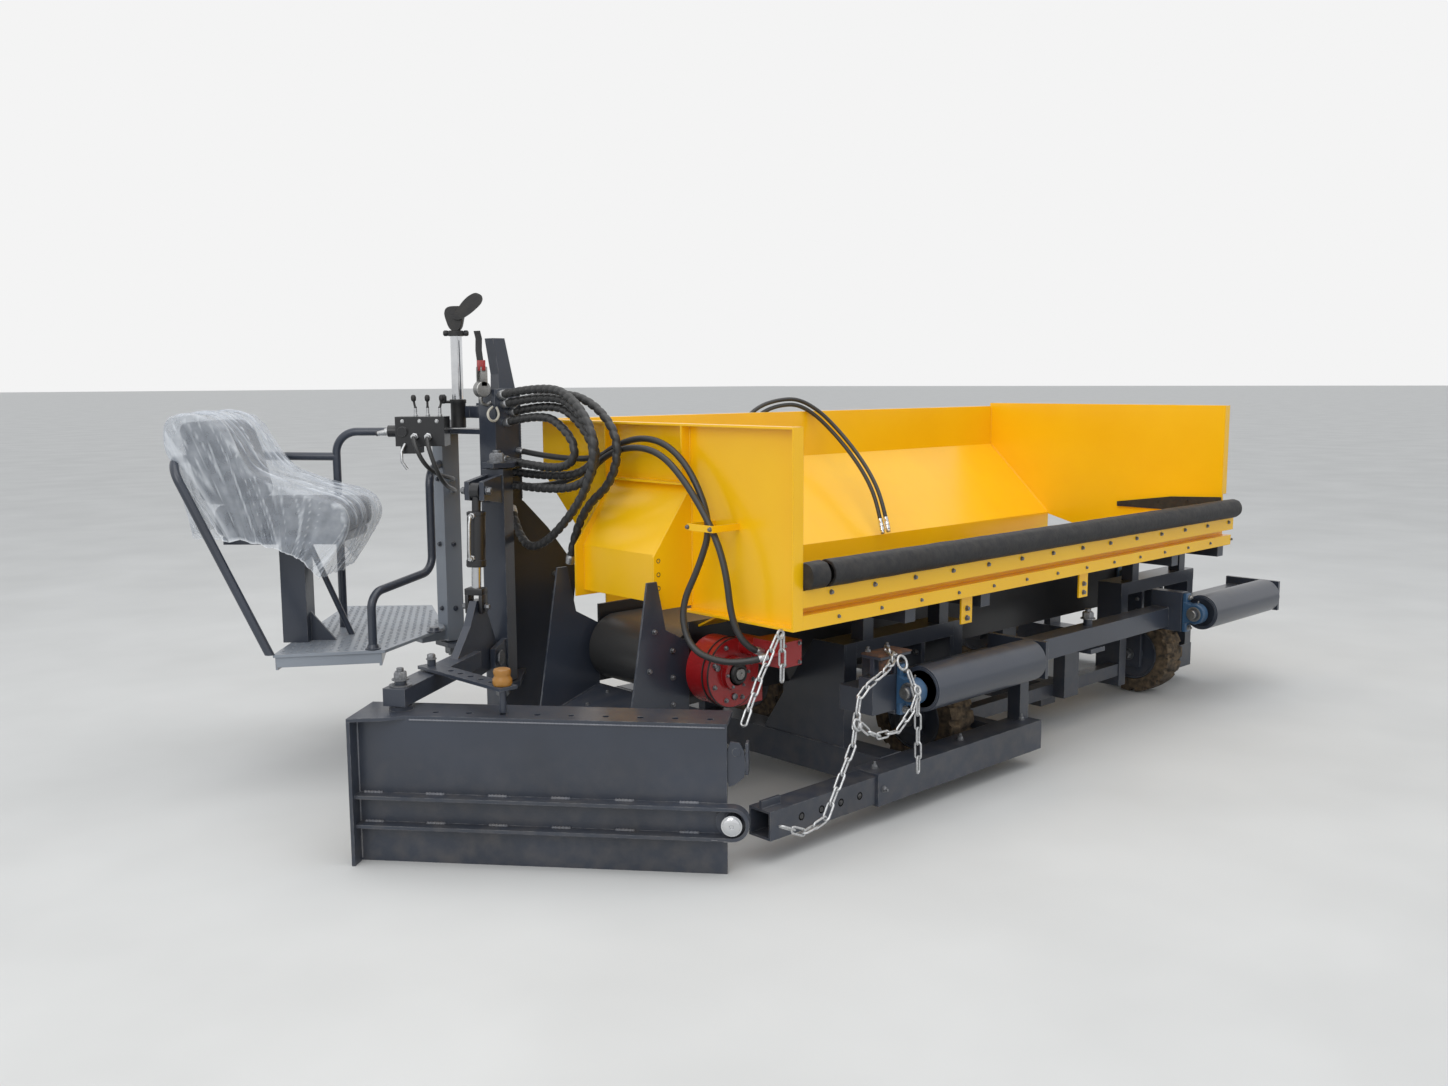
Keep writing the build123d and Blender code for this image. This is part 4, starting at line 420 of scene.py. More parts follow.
class Paint(Enum):
    """The finishes of the machine, one for each slot or part of one."""

    YELLOW = SprayedEnamel(
        "yellow_sprayed_enamel", "#FFC70A", "#FBBF04", "yellow_paint", 0.3,
        bare="#C79A32", dust_share=0.1, wear=0.25,
    )
    GREY = SprayedEnamel(
        "charcoal_sprayed_enamel", "#373D49", "#30353F", "grey_paint", 0.36,
        wear=0.7, dust_share=0.16,
    )
    WELD = SprayedEnamel("sprayed_weld_bead", "#6F727A", "#5A5D66", "grey_paint", 0.5, wear=0.9)
    DECK = SprayedEnamel(
        "foot_worn_enamel", "#9299A2", "#7A818B", "grey_paint", 0.4, wear=0.9, dust_share=0.2
    )
    BLACK = SprayedEnamel(
        "black_sprayed_enamel", "#17181B", "#1E1F23", "black_paint", 0.42,
        wear=0.4, dust_share=0.1,
    )
    RED = SprayedEnamel(
        "red_sprayed_enamel", "#A51A1C", "#8E1519", "red_paint", 0.32, wear=0.3, dust_share=0.12
    )
    BLUE = SprayedEnamel(
        "blue_sprayed_enamel", "#34587A", "#2A4B69", "blue_paint", 0.4, wear=0.6, dust_share=0.2
    )
    ZINC = PlatedSteel("hot_dipped_zinc", "#D2D3D4", "#B4B6B8", "steel", 0.38, 1.0)
    BOLT = PlatedSteel("dull_zinc_bolt", "#8F9194", "#74767A", "steel", 0.46, 1.0, stain=0.8)
    STEEL = PlatedSteel("turned_steel", "#A7A7A6", "#8E8D8B", "steel", 0.34, 1.0, stain=0.7)
    CHROME = PlatedSteel(
        "hard_chrome", "#DADBDD", "#CFD1D4", "chrome", 0.12, 1.0, grain_mm=60.0, stain=0.2
    )
    RUBBER = MouldedRubber(
        "dusty_roll_rubber", "#17171A", "#1F2023", "rubber", 0.62,
        dust_share=0.2, grain_mm=14.0, depth_mm=1.2,
    )
    HOSE = MouldedRubber("hose_rubber", "#0C0C0E", "#131316", "hose_rubber", 0.38, dust_share=0.06)
    TYRE = MouldedRubber(
        "sandy_solid_tyre", "#2B2621", "#3A332B", "tyre", 0.9, dust="#9A8263", dust_share=1.0
    )
    # The darker second colour is painted shade in the grain's grooves
    VINYL = GrainedVinyl("embossed_seat_vinyl", "#1E1F22", "#121315", "seat_vinyl", 0.45)
    # White where the painted sheen lies on folds and hem, blue-grey where the film lies flat
    FILM = BlownFilm("blown_polyethylene_film", "#F4F7FA", "#C3CBD6", "film", 0.16)
    NYLON = MouldedRubber(
        "moulded_black_nylon", "#18181A", "#202124", "black_plastic", 0.5, dust_share=0.2
    )
    RUST = RustedPlate("rusted_mild_steel", "#6B4630", "#3C3431", "steel", 0.85)
    KNOB = SprayedEnamel("ochre_knob_enamel", "#A9772A", "#8A5A22", "yellow_paint", 0.45, wear=0.5)
    ROPE = MouldedRubber("laid_nylon_rope", "#D6D2C6", "#BDB8AA", "seat_vinyl", 0.8, grain_mm=3.0)

    def on(self, *nodes: str) -> None:
        """Put the finish on CAD nodes.

        Args:
            nodes: their names.
        """
        for node in nodes:
            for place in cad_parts[node].material_slots:
                place.material = self.value.material()


def soften(outline: Profile, rounds: int = 2) -> list[tuple[float, float]]:
    """Cut an outline's corners until they look cast.

    Args:
        outline: its corners in order.
        rounds: how many times over they are cut.

    Returns:
        The new corners.
    """
    points = [Vector(corner) for corner in outline]
    for _ in range(rounds):
        pairs = zip(points, points[1:] + points[:1])
        points = [one.lerp(two, share) for one, two in pairs for share in (0.22, 0.78)]
    return [tuple(point) for point in points]


def circle(middle: Vector, side: Vector, up: Vector, radius: float, sides: int) -> list[Vector]:
    """Points round a centre, in the plane of two square unit vectors."""
    turns = [tau * k / sides for k in range(sides)]
    return [middle + (side * cos(a) + up * sin(a)) * radius for a in turns]


def hoop(middle: Point, radius: float, lean: float, count: int) -> list[Vector]:
    """A closed ring's centre line, leaning back by a share of its height."""
    turns = [tau * k / count for k in range(count + 1)]
    return [Vector(middle) + Vector((cos(a), lean * sin(a), sin(a))) * radius for a in turns]


class Shape:
    """One piece's mesh, built up in millimetres and written in the shared frame."""

    def __init__(self, plane: Matrix = SQUARE) -> None:
        """Start an empty mesh whose points lie in a plane's millimetres."""
        self.mesh = bmesh.new()
        self.plane = plane

    def loft(self, rings: Sequence[Sequence[Vector]], closed: bool = False) -> None:
        """Skin a row of rings.

        Args:
            rings: the rings, each with as many points.
            closed: join the last ring to the first; otherwise both get a cap.
        """
        rows = [[self.mesh.verts.new(p) for p in ring] for ring in rings]
        for one, two in zip(rows, rows[1:] + rows[:1] if closed else rows[1:]):
            for i in range(len(one)):
                j = (i + 1) % len(one)
                self.mesh.faces.new((one[i], one[j], two[j], two[i]))
        if not closed:
            self.mesh.faces.new(rows[0][::-1])
            self.mesh.faces.new(rows[-1])

    def prism(self, outline: Profile, *steps: tuple[float, float]) -> None:
        """An upright outline drawn out along Y.

        Args:
            outline: its corners as X and Z.
            steps: places along Y, each with the outline's growth in X there.
        """
        self.loft([[Vector((x * grow, y, z)) for x, z in outline] for y, grow in steps])

    def turned(self, start: Point, along: Point, profile: Profile, sides: int = 24) -> None:
        """A body of revolution.

        Args:
            start: where its axis starts.
            along: the axis's direction.
            profile: rows of distance along the axis and radius.
            sides: points round it.
        """
        start, along = Vector(start), Vector(along).normalized()
        side = along.orthogonal().normalized()
        up = along.cross(side)
        self.loft([circle(start + along * far, side, up, radius, sides) for far, radius in profile])

    def pin(
        self, start: Point, end: Point, radius: float, sides: int = 20, ease: float = 1
    ) -> None:
        """A round bar with eased ends.

        Args:
            start: the middle of one end.
            end: the middle of the other.
            radius: its radius.
            sides: points round it.
            ease: width of its ends' chamfers.
        """
        way = Vector(end) - Vector(start)
        ends = ((0, radius - ease), (ease, radius))
        ends += ((way.length - ease, radius), (way.length, radius - ease))
        self.turned(start, way, ends, sides)

    def plate(self, low: Point, high: Point, ease: float = 1.5) -> None:
        """A plate or block with eased edges.

        Args:
            low: its lowest corner.
            high: its highest corner.
            ease: width of its edges' rounding.
        """
        verts = bmesh.ops.create_cube(self.mesh, size=1.0)["verts"]
        low, high = Vector(low), Vector(high)
        bmesh.ops.transform(self.mesh, matrix=Matrix.Diagonal((*(high - low), 1)), verts=verts)
        bmesh.ops.translate(self.mesh, vec=(low + high) / 2, verts=verts)
        edges = list({edge for vert in verts for edge in vert.link_edges})
        bmesh.ops.bevel(
            self.mesh, geom=edges, offset=ease, segments=2, profile=0.5, affect="EDGES"
        )

    def bolt(self, foot: Point, along: Point, across: float = 18, stud: float = 0) -> None:
        """A washer and a chamfered hexagon head, with its stud where it has a nut.

        Args:
            foot: where it sits on its plate.
            along: the direction that it stands up in.
            across: distance across the hexagon's flats.
            stud: how far a stud stands out of it.
        """
        foot, along = Vector(foot), Vector(along).normalized()
        radius, high, washer = across / 1.732, across * 0.62, across * 0.1
        self.turned(foot, along, ((0, radius * 1.25), (washer, radius * 1.25)), 18)
        base = foot + along * washer
        head = ((0, radius), (high * 0.8, radius), (high, radius * 0.82))
        self.turned(base, along, head, 6)
        if stud:
            self.pin(base + along * high * 0.9, base + along * (high + stud), across * 0.3, 12)

    def bolts(
        self, feet: Iterable[Point], along: Point, across: float = 18, stud: float = 0
    ) -> None:
        """The same bolt at several places."""
        for foot in feet:
            self.bolt(foot, along, across, stud)

    def tube(
        self, line: Sequence[Vector], radius: float, sides: int = 12, wrap: float = 0
    ) -> None:
        """A round tube along a fine line.

        Args:
            line: its centre, close together.
            radius: its outside radius.
            sides: points round it.
            wrap: pitch of a spiral guard's groove, or 0 for a smooth one.
        """
        rings = []
        side = (line[1] - line[0]).orthogonal().normalized()
        far = 0.0
        for k, middle in enumerate(line):
            along = (line[min(k + 1, len(line) - 1)] - line[max(k - 1, 0)]).normalized()
            side = (side - along * side.dot(along)).normalized()
            up = along.cross(side)
            far += (middle - line[k - 1]).length if k else 0
            ring = []
            for a in (tau * j / sides for j in range(sides)):
                reach = radius
                if wrap:
                    turn = (far / wrap + a / tau) % 1
                    reach -= GUARD_DEPTH * exp(-(((turn - 0.5) / GUARD_GROOVE) ** 2))
                ring.append(middle + (side * cos(a) + up * sin(a)) * reach)
            rings.append(ring)
        self.loft(rings)

    def weld(self, start: Point, end: Point, radius: float = 4) -> None:
        """A weld bead with its ripples.

        Args:
            start: one end.
            end: the other end.
            radius: the bead's radius at its ripples.
        """
        start, end = Vector(start), Vector(end)
        steps = max(int((end - start).length / 4), 4)
        along = (end - start).normalized()
        side = along.orthogonal().normalized()
        up = along.cross(side)
        rings = []
        for k in range(steps + 1):
            swell = radius * (0.82 + 0.18 * sin(k * 2.2)) * (0.5 if k in (0, steps) else 1)
            rings.append(circle(start.lerp(end, k / steps), side, up, swell, 8))
        self.loft(rings)

    def welds(self, lines: Iterable[tuple[Point, Point]], radius: float = 4) -> None:
        """Beads of one size between pairs of points."""
        for start, end in lines:
            self.weld(start, end, radius)

    def build(
        self, name: str, body: str, paint: Paint, nodes: Iterable[str] = ()
    ) -> bpy.types.Object:
        """Write the mesh as a piece that rides on a body.

        Args:
            name: the piece's name.
            body: the body that carries it.
            paint: its finish.
            nodes: the CAD nodes that it replaces.

        Returns:
            The new object.
        """
        bmesh.ops.transform(self.mesh, matrix=TO_FRAME @ self.plane, verts=self.mesh.verts)
        bmesh.ops.recalc_face_normals(self.mesh, faces=self.mesh.faces)
        made = bpy.data.meshes.new(name)
        self.mesh.to_mesh(made)
        self.mesh.free()
        made.materials.append(paint.value.material())
        made.polygons.foreach_set("use_smooth", [True] * len(made.polygons))
        made.set_sharp_from_angle(angle=radians(38))
        piece = bpy.data.objects.new(name, made)
        bpy.context.scene.collection.objects.link(piece)
        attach(piece, body)
        if nodes:
            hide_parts(*nodes)
        LOG.info("%s: %d faces on %s", name, len(made.polygons), body)
        return piece


def spline(name: str, route: Sequence[Point], radius: float = 0) -> bpy.types.Object:
    """A smooth curve with a route's corners as its control points.

    Args:
        name: the curve's name.
        route: the corners in hopper millimetres.
        radius: the round section's radius in millimetres, or 0 for a bare line.

    Returns:
        The curve object, not yet riding on a body.
    """
    data = bpy.data.curves.new(name, "CURVE")
    data.dimensions = "3D"
    data.resolution_u = 12
    data.bevel_depth = radius / 1000
    data.bevel_resolution = 4
    data.use_fill_caps = bool(radius)
    line = data.splines.new("NURBS")
    line.points.add(len(route) - 1)
    for point, corner in zip(line.points, route):
        point.co = (*(TO_FRAME @ Vector(corner)), 1)
    line.order_u = 3
    line.use_endpoint_u = True
    curve = bpy.data.objects.new(name, data)
    bpy.context.scene.collection.objects.link(curve)
    return curve


def read_line(route: Sequence[Point], step: float) -> list[Vector]:
    """Points along a route's smooth curve, at even steps.

    Args:
        route: the corners in hopper millimetres.
        step: distance between points in millimetres.

    Returns:
        The points in hopper millimetres.
    """
    curve = spline("route", route)
    mesh = bpy.data.meshes.new_from_object(curve)
    back = TO_FRAME.inverted()
    raw = [back @ vert.co for vert in mesh.vertices]
    bpy.data.objects.remove(curve)
    bpy.data.meshes.remove(mesh)
    spots = [raw[0]]
    left = step
    for one, two in zip(raw, raw[1:]):
        reach = (two - one).length
        gone = 0.0
        while reach - gone >= left:
            gone += left
            spots.append(one.lerp(two, gone / reach))
            left = step
        left -= reach - gone
    return spots


def cable(name: str, route: Sequence[Point], radius: float, paint: Paint) -> bpy.types.Object:
    """A round rope or hose that rides on the chassis, as a curve.

    Args:
        name: the piece's name.
        route: its corners in hopper millimetres.
        radius: its radius in millimetres.
        paint: its finish.

    Returns:
        The curve object.
    """
    curve = spline(name, route, radius)
    curve.data.materials.append(paint.value.material())
    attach(curve, "chassis")
    return curve


@dataclass
class Studio:
    """Pale floor, soft light and the camera at the photograph's angle."""

    eye: Point = (-4.165, -4.059, 1.586)
    heading: float = 46.6
    pitch: float = -7.3
    roll: float = -0.27
    lens: float = 31.33
    floor_size: float = 300.0

    def camera(self) -> None:
        """Stand the camera where the photographer stood."""
        data = bpy.data.cameras.new("camera")
        data.lens = self.lens
        data.sensor_width = 36.0
        data.sensor_fit = "HORIZONTAL"
        camera = bpy.data.objects.new("camera", data)
        camera.location = self.eye
        turn = Matrix.Rotation(radians(self.heading - 90), 4, "Z")
        tilt = Matrix.Rotation(radians(90 + self.pitch), 4, "X")
        spin = Matrix.Rotation(radians(self.roll), 4, "Z")
        camera.rotation_euler = (turn @ tilt @ spin).to_euler()
        bpy.context.scene.collection.objects.link(camera)
        bpy.context.scene.camera = camera

    def floor(self) -> None:
        """A pale concrete floor."""
        mesh = bmesh.new()
        bmesh.ops.create_grid(mesh, x_segments=8, y_segments=8, size=self.floor_size)
        data = bpy.data.meshes.new("floor")
        mesh.to_mesh(data)
        mesh.free()
        concrete = PouredConcrete("pale_concrete", "#D5D5D3", "#CCCCCA", "floor", 0.85)
        data.materials.append(concrete.material())
        floor = bpy.data.objects.new("floor", data)
        bpy.context.scene.collection.objects.link(floor)

    def world(self) -> None:
        """White behind the machine, and an even sky for its light."""
        world = bpy.data.worlds.new("studio")
        world.use_nodes = True
        nodes = Nodes(world.node_tree)
        rays = nodes.add("LightPath")
        seen = rays["Is Camera Ray"]
        for other in ("Is Glossy Ray", "Is Transmission Ray"):
            seen = nodes.add("Math", {0: seen, 1: rays[other]}, operation="MAXIMUM")[0]
        sky = nodes.add("Background", {"Color": "#F3F6FA", "Strength": 0.8})[0]
        white = nodes.add("Background", {"Color": "#F4F4F4", "Strength": 1.0})[0]
        both = nodes.add("MixShader", {0: seen, 1: sky, 2: white})[0]
        nodes.add("OutputWorld", {"Surface": both})
        bpy.context.scene.world = world

    def lamp(self, name: str, place: Point, aim: Point, size: float, power: float) -> None:
        """A square soft box.

        Args:
            name: the lamp's name.
            place: where it hangs, in metres.
            aim: what it points at.
            size: its side in metres.
            power: watts.
        """
        data = bpy.data.lights.new(name, "AREA")
        data.size = size
        data.energy = power
        lamp = bpy.data.objects.new(name, data)
        lamp.location = place
        lamp.rotation_euler = (Vector(aim) - Vector(place)).to_track_quat("-Z", "Y").to_euler()
        bpy.context.scene.collection.objects.link(lamp)

    def build(self) -> None:
        """Set up the whole studio."""
        bpy.context.scene.view_settings.view_transform = "Standard"
        self.camera()
        self.floor()
        self.world()
        self.lamp("overhead", (-0.5, -1.0, 7.0), (0.0, 0.0, 0.5), 7.0, 200.0)
        self.lamp("front", (-6.0, -3.0, 4.5), (-0.5, 0.0, 0.7), 4.0, 105.0)


@dataclass
class Hopper:
    """The yellow hopper with its rubber lip roll, bolts and welds."""

    length: int = 3200
    roll_radius: float = 49.0
    roll_place: tuple[float, float] = (-3.3, 935.3)
    roll_bore: float = 35.0
    bolt_pitch: int = 232

    def skin(self, x: float, radius: float, turn: float) -> Vector:
        """A point of the roll: sheet wound on itself, with soft dents and its last turn's step.

        Args:
            x: its place along the lip.
            radius: its distance from the roll's axis before the dents.
            turn: its angle round the axis.

        Returns:
            The point.
        """
        if radius > self.roll_bore + 5:
            dent = noise.noise(Vector((x / 90, 2 * cos(turn), 2 * sin(turn))))
            radius += 1.6 * dent + 2 * max(0, 1 - abs(turn - 2.2) / 0.25) - 1.5
        y, z = self.roll_place
        return Vector((x, y + radius * cos(turn), z + radius * sin(turn)))

    def roll(self) -> None:
        """The rubber roll along the lip and its short stub, open where they face each other."""
        shape = Shape()
        bore, skin = self.roll_bore, self.roll_radius
        for mouth, blind, way in ((120, self.length + 10, 1), (95, 8.3, -1)):
            rows = [(mouth + 60 * way, 1), (mouth + 60 * way, bore), (mouth + 3 * way, bore)]
            rows += [(mouth, bore + 2), (mouth, skin - 2.5), (mouth + 3 * way, skin)]
            count = int(abs(blind - mouth) / 14)
            rows += [(mouth + (blind - mouth) * k / count, skin) for k in range(1, count)]
            rows += [(blind, skin - 3), (blind, 1)]
            turns = [tau * j / 44 for j in range(44)]
            shape.loft([[self.skin(x, radius, a) for a in turns] for x, radius in rows])
        shape.build("lip_roll", "chassis", Paint.RUBBER, ["rubber_roll"])

    def fasteners(self) -> None:
        """Bolts on the lip strip, the lower tube, the hose strap, the clamp and the brackets."""
        shape = Shape()
        columns = range(150, self.length, self.bolt_pitch)
        shape.bolts([(x, 0, 866) for x in columns], TRUCK, 13)
        shape.bolts([(x + 40, 0, 776) for x in columns], TRUCK, 10)
        shape.bolts([(-130, y, 1080) for y in (310, 426)], LEFT, 12)
        shape.bolts([(x, 1486, 1240) for x in (1195, 1260)], LOADER, 13)
        shape.bolts(product((975, 1835), (25,), (662, 700)), TRUCK, 16)
        shape.build("hopper_bolts", "chassis", Paint.BOLT)

    def seams(self) -> None:
        """Fillet welds at the hopper's corners and folds."""
        lines = [((9, 10, 760), (9, 10, 880)), ((-1, 9, 760), (-1, 9, 1426))]
        lines += [((-1, 10, 758), (-1, 546, 758))]
        for x in (9, self.length - 1):
            lines += [((x, 1468, 1220), (x, 1468, 1426)), ((x, 1462, 1211), (x, 1075, 845))]
        lines += [((-1, y, 780), (-1, y, 1200)) for y in (546, 1018)]
        lines += [((-1, y, 1224), (-1, y, 1420)) for y in (555, 1010)]
        lines += [((x, 1479, 1200), (x, 1479, 1420)) for x in (709, 1159, 2659, 3109)]
        shape = Shape()
        shape.welds(lines, 3.6)
        shape.build("hopper_seams", "chassis", Paint.YELLOW)

    def flap(self) -> None:
        """Rubber flap inside the right end wall, behind the roll, held by four studs."""
        shape = Shape()
        outline = ((58, 915), (58, 988), (330, 975), (635, 930), (635, 905), (330, 905))
        shape.loft([[Vector((x, y, z)) for y, z in outline] for x in (3188, 3198.5)])
        for y, z in ((90, 965), (240, 960), (400, 948), (560, 925)):
            shape.pin((3184, y, z), (3199, y, z), 8, 12)
        shape.build("end_flap", "chassis", Paint.RUBBER)

    def hood_hole_shade(self) -> None:
        """Black discs in the punched holes of the hood's flange: painted shade where the holes look
        dark.
        """
        shape = Shape()
        for z in (800, 850, 900, 950):
            shape.turned((-163, 548.5, z), TRUCK, ((0, 9), (0.8, 9), (0.8, 6), (-0.5, 5)), 16)
        for y in (60, 200, 340, 480):
            shape.turned((-25, y, 750.5), DOWN, ((0, 7), (0.8, 7)), 16)
        # Painted shade: solid black discs stand in the holes, where only their dark shows
        shape.build("hood_hole_shade", "chassis", Paint.BLACK)

    def build(self) -> None:
        """Dress the hopper's CAD pieces and add its own."""
        Paint.YELLOW.on("hopper_left_end", "hopper_right_end", "hopper_rear_wall", "hopper_stays")
        Paint.YELLOW.on("hopper_front_lip", "outlet_hood")
        self.roll()
        self.fasteners()
        self.seams()
        self.flap()
        self.hood_hole_shade()


@dataclass
class Conveyor:
    """Cross conveyor, its gearbox and the chute."""

    centre: tuple[float, float] = (20.0, 545.0)
    face: float = 350.0

    def gearbox(self) -> None:
        """Cover bolts, shaft seal, plugs and hose unions of the shaft gearbox."""
        (x, z), face = self.centre, self.face
        bolts = Shape()
        for count, offset, reach, y, across in ((8, 0.5, 104, face, 13), (6, 0, 52, face - 22, 9)):
            for a in (tau * (k + offset) / count for k in range(count)):
                bolts.bolt((x + reach * cos(a), y, z + reach * sin(a)), TRUCK, across)
        for dx, dz in ((-84, 30), (84, 30), (0, -88)):
            bolts.turned((x + dx, face, z + dz), TRUCK, ((0, 12), (7, 12), (9, 9)), 20)
        bolts.bolts(product((42, 118), (120,), (606, 674)), TRUCK, 11)
        bolts.build("gearbox_bolts", "chassis", Paint.BOLT)
        seal = Shape()
        lips = ((0, 44), (0, 38), (-6, 38), (-12, 34), (-12, 24), (6, 22))
        seal.turned((x, face - 22, z), LOADER, lips, 32)
        for y in (face + 1, face + 30):
            seal.turned((x, y, z), LOADER, ((0, 126), (0, 129), (5, 129), (5, 126)), 48)
        seal.build("gearbox_seal", "chassis", Paint.NYLON)
        shaft = Shape()
        end = ((0, 21), (16, 21), (18, 19), (18, 7), (14, 5))
        shaft.turned((x, face - 20, z), TRUCK, end, 28)
        shaft.build("gearbox_shaft", "chassis", Paint.STEEL)

    def chute(self) -> None:
        """Bolts and welds of the discharge chute."""
        shape = Shape()
        cheek = ((-120, 420), (-120, 520), (-120, 620), (-262, 420), (-230, 560), (-205, 700))
        shape.bolts([(x, 526, z) for x, z in cheek], TRUCK, 15)
        shape.bolts([(x, 1069, z) for x, z in cheek], LOADER, 15)
        for x, y in product((-290, -180, -80), (600, 780, 960)):
            shape.bolt((x, y, 300 + (x + 330) * 95 / 290), (-0.31, 0, 0.95), 12)
        shape.build("chute_bolts", "chassis", Paint.BOLT)
        bead = Shape()
        bead.welds([((-326, y, 303), (-42, y, 396)) for y in (535, 1060)], 3.6)
        bead.build("chute_welds", "chassis", Paint.GREY)

    def bearings(self) -> None:
        """Flanged bearings of the drum shafts on the outside of the side plates."""
        shape = Shape()
        z = self.centre[1]
        for x, y, way in ((20, 1069, 1), (3060, 1069, 1), (3060, 526, -1)):
            near, far = sorted((y, y + way * 14))
            shape.plate((x - 55, near, z - 55), (x + 55, far, z + 55), 6)
            cap = ((0, 44), (20, 42), (28, 36), (28, 26), (26, 25))
            shape.turned((x, y + way * 12, z), (0, way, 0), cap, 28)
        shape.build("drum_bearings", "chassis", Paint.BLUE)

    def build(self) -> None:
        """Dress the conveyor."""
        Paint.HOSE.on("conveyor_belt")
        Paint.STEEL.on("conveyor_drums")
        Paint.BLACK.on("conveyor_sides")
        Paint.RED.on("drive_gearbox")
        Paint.GREY.on("discharge_chute")
        self.gearbox()
        self.chute()
        self.bearings()


@dataclass
class Undercarriage:
    """Base frame, portals, sleeve with its side tube, and the loader coupler."""

    fork_reach: float = 107.0
    tube_holes: tuple[float, ...] = (-60.0, 40.0, 140.0, 240.0)

    def details(self) -> None:
        """Bolts, set screws and the pivot's nut."""
        shape = Shape()
        shape.bolts([(x, -10, 192) for x in (380, 900, 1320)], UP, 20, 12)
        shape.bolt((360, -70, 132), TRUCK, 18, 8)
        shape.bolt((2020, 106, 508), UP, 46, 14)
        shape.bolts(product((630, 1110, 2680, 3160), (250, 280), (594,)), (0, -0.2, 1), 14)
        for x, y, side in product(WHEEL_COLUMNS.values(), WHEEL_ROWS.values(), (-1, 1)):
            foot = x + side * self.fork_reach
            shape.bolt((foot, y, 203), (side, 0, 0), 44)
            shape.bolts(product((foot,), (y - 40, y + 40), (430, 490)), (side, 0, 0), 16)
        shape.bolts(product((1620, 2320), (1670,), (300, 860)), LEFT, 20)
        shape.build("frame_bolts", "chassis", Paint.BOLT)

    def welds(self) -> None:
        """Beads where the square tubes meet."""
        shape = Shape()
        for x in (490, 610, 1960, 2080, 3180, 3300):
            shape.weld((x, 1500, 76), (x, 1500, 190))
            shape.weld((min(x, 3296), 1502, 193), (min(x, 3296), 1618, 193), 3)
        for x in (500, 562, 2550, 2612, 1178, 1240, 3228, 3290):
            shape.weld((x, 237, 534), (x, 237, 590), 3.5)
        shape.welds([((489, 240, 193), (489, 660, 193)), ((492, 52, 193), (608, 52, 193))])
        shape.welds([((1310, -10, 194), (1370, -10, 194)), ((1370, -8, 194), (1370, 48, 194))])
        shape.welds([((x, 1621, 80), (x, 1621, 190)) for x in (1620, 1720, 2320, 2420)])
        shape.build("frame_welds", "chassis", Paint.GREY)

    def side_tube(self) -> None:
        """Painted shade in the holes, as black discs, and the welds of the tube that slides out of
        the sleeve.
        """
        shape = Shape()
        for x in self.tube_holes:
            shape.turned((x, -60.05, 132), LOADER, ((0, 14), (0, 10), (0.4, 9)), 20)
        # Painted shade: solid black discs stand in the holes, where only their dark shows
        shape.build("side_tube_hole_shade", "side_tube", Paint.BLACK)
        bead = Shape()
        bead.welds([((-208, y, 183), (-122, y, 183)) for y in (-20, -8)], 3.5)
        bead.build("side_tube_welds", "side_tube", Paint.GREY)

    def build(self) -> None:
        """Dress the undercarriage."""
        Paint.GREY.on("base_frame", "front_sleeve", "front_rail", "wheel_portals", "wheel_forks")
        Paint.GREY.on("hopper_saddles", "extension_tube", "loader_coupler")
        Paint.STEEL.on("wheel_axles")
        Paint.YELLOW.on("hose_clips")
        self.details()
        self.welds()
        self.side_tube()


@dataclass
class Wheel:
    """One solid-tyred wheel."""

    name: str
    x: float
    y: float
    radius: float = 203.0
    width: float = 150.0
    rim: float = 134.0
    lugs: int = 16
    depth: float = 13.0

    def spot(self, across: float, radius: float, turn: float) -> Vector:
        """A point of the tyre by its place across, its radius and its turn."""
        height = self.radius + radius * sin(turn)
        return Vector((self.x + across, self.y + radius * cos(turn), height))

    def tread(self, across: float, turn: float) -> Vector:
        """A point of the running face: staggered shoulder lugs, and short slots in the middle.

        Args:
            across: its place across the tyre, from the middle.
            turn: its angle round the axle.

        Returns:
            The point.
        """
        off = abs(across)
        pitch = turn / tau * self.lugs + (0.5 if across < 0 else 0)
        phase = abs((pitch + off / 420) % 1 - 0.5) * 2
        groove = clamp((0.34 - phase) / 0.12) * clamp((off - 22) / 6)
        if off < 12:
            slot = abs((turn / tau * self.lugs * 1.5) % 1 - 0.5) * 2
            groove += clamp((0.26 - slot) / 0.1) * 0.4
        crown = 3.5 * (off / (self.width / 2)) ** 3
        scuff = 0.7 * noise.noise(Vector((8 * cos(turn), 8 * sin(turn), across / 18)))
        radius = self.radius - crown - 1.2 + scuff - self.depth * min(groove, 1)
        return self.spot(across, radius, turn)

    def tyre(self) -> None:
        """The tyre, side walls and tread."""
        half, across = self.width / 2, 18
        wall = ((half, self.rim + 1), (half, self.rim + 24), (half - 1, self.radius - 22))
        rings = []
        for a in (tau * k / 224 for k in range(224)):
            ring = [self.spot(off, radius, a) for off, radius in wall]
            ring += [self.tread(half * (1 - 2 * j / across), a) for j in range(across + 1)]
            ring += [self.spot(-off, radius, a) for off, radius in wall[::-1]]
            rings.append(ring)
        shape = Shape()
        shape.loft(rings, closed=True)
        name = self.name
        shape.build(f"tread_{name}", f"wheel_{name}", Paint.TYRE, [f"tyre_{name}"])

    def hub(self) -> None:
        """Wheel bolts and the lock ring between rim and tyre."""
        shape, ring = Shape(), Shape()
        profile = ((0, 121), (0, 133), (7, 133.5), (11, 130), (11, 124), (4, 121))
        for side in (-1, 1):
            feet = [self.spot(side * 8, 94, tau * k / 8) for k in range(8)]
            shape.bolts(feet, (side, 0, 0), 19, 8)
            ring.turned(self.spot(side * 63, 0, 0), (side, 0, 0), profile, 48)
        shape.build(f"hub_bolts_{self.name}", f"wheel_{self.name}", Paint.STEEL)
        ring.build(f"lock_ring_{self.name}", f"wheel_{self.name}", Paint.GREY)

    def build(self) -> None:
        """Dress the rim and make the tyre."""
        Paint.GREY.on(f"rim_{self.name}")
        self.tyre()
        self.hub()


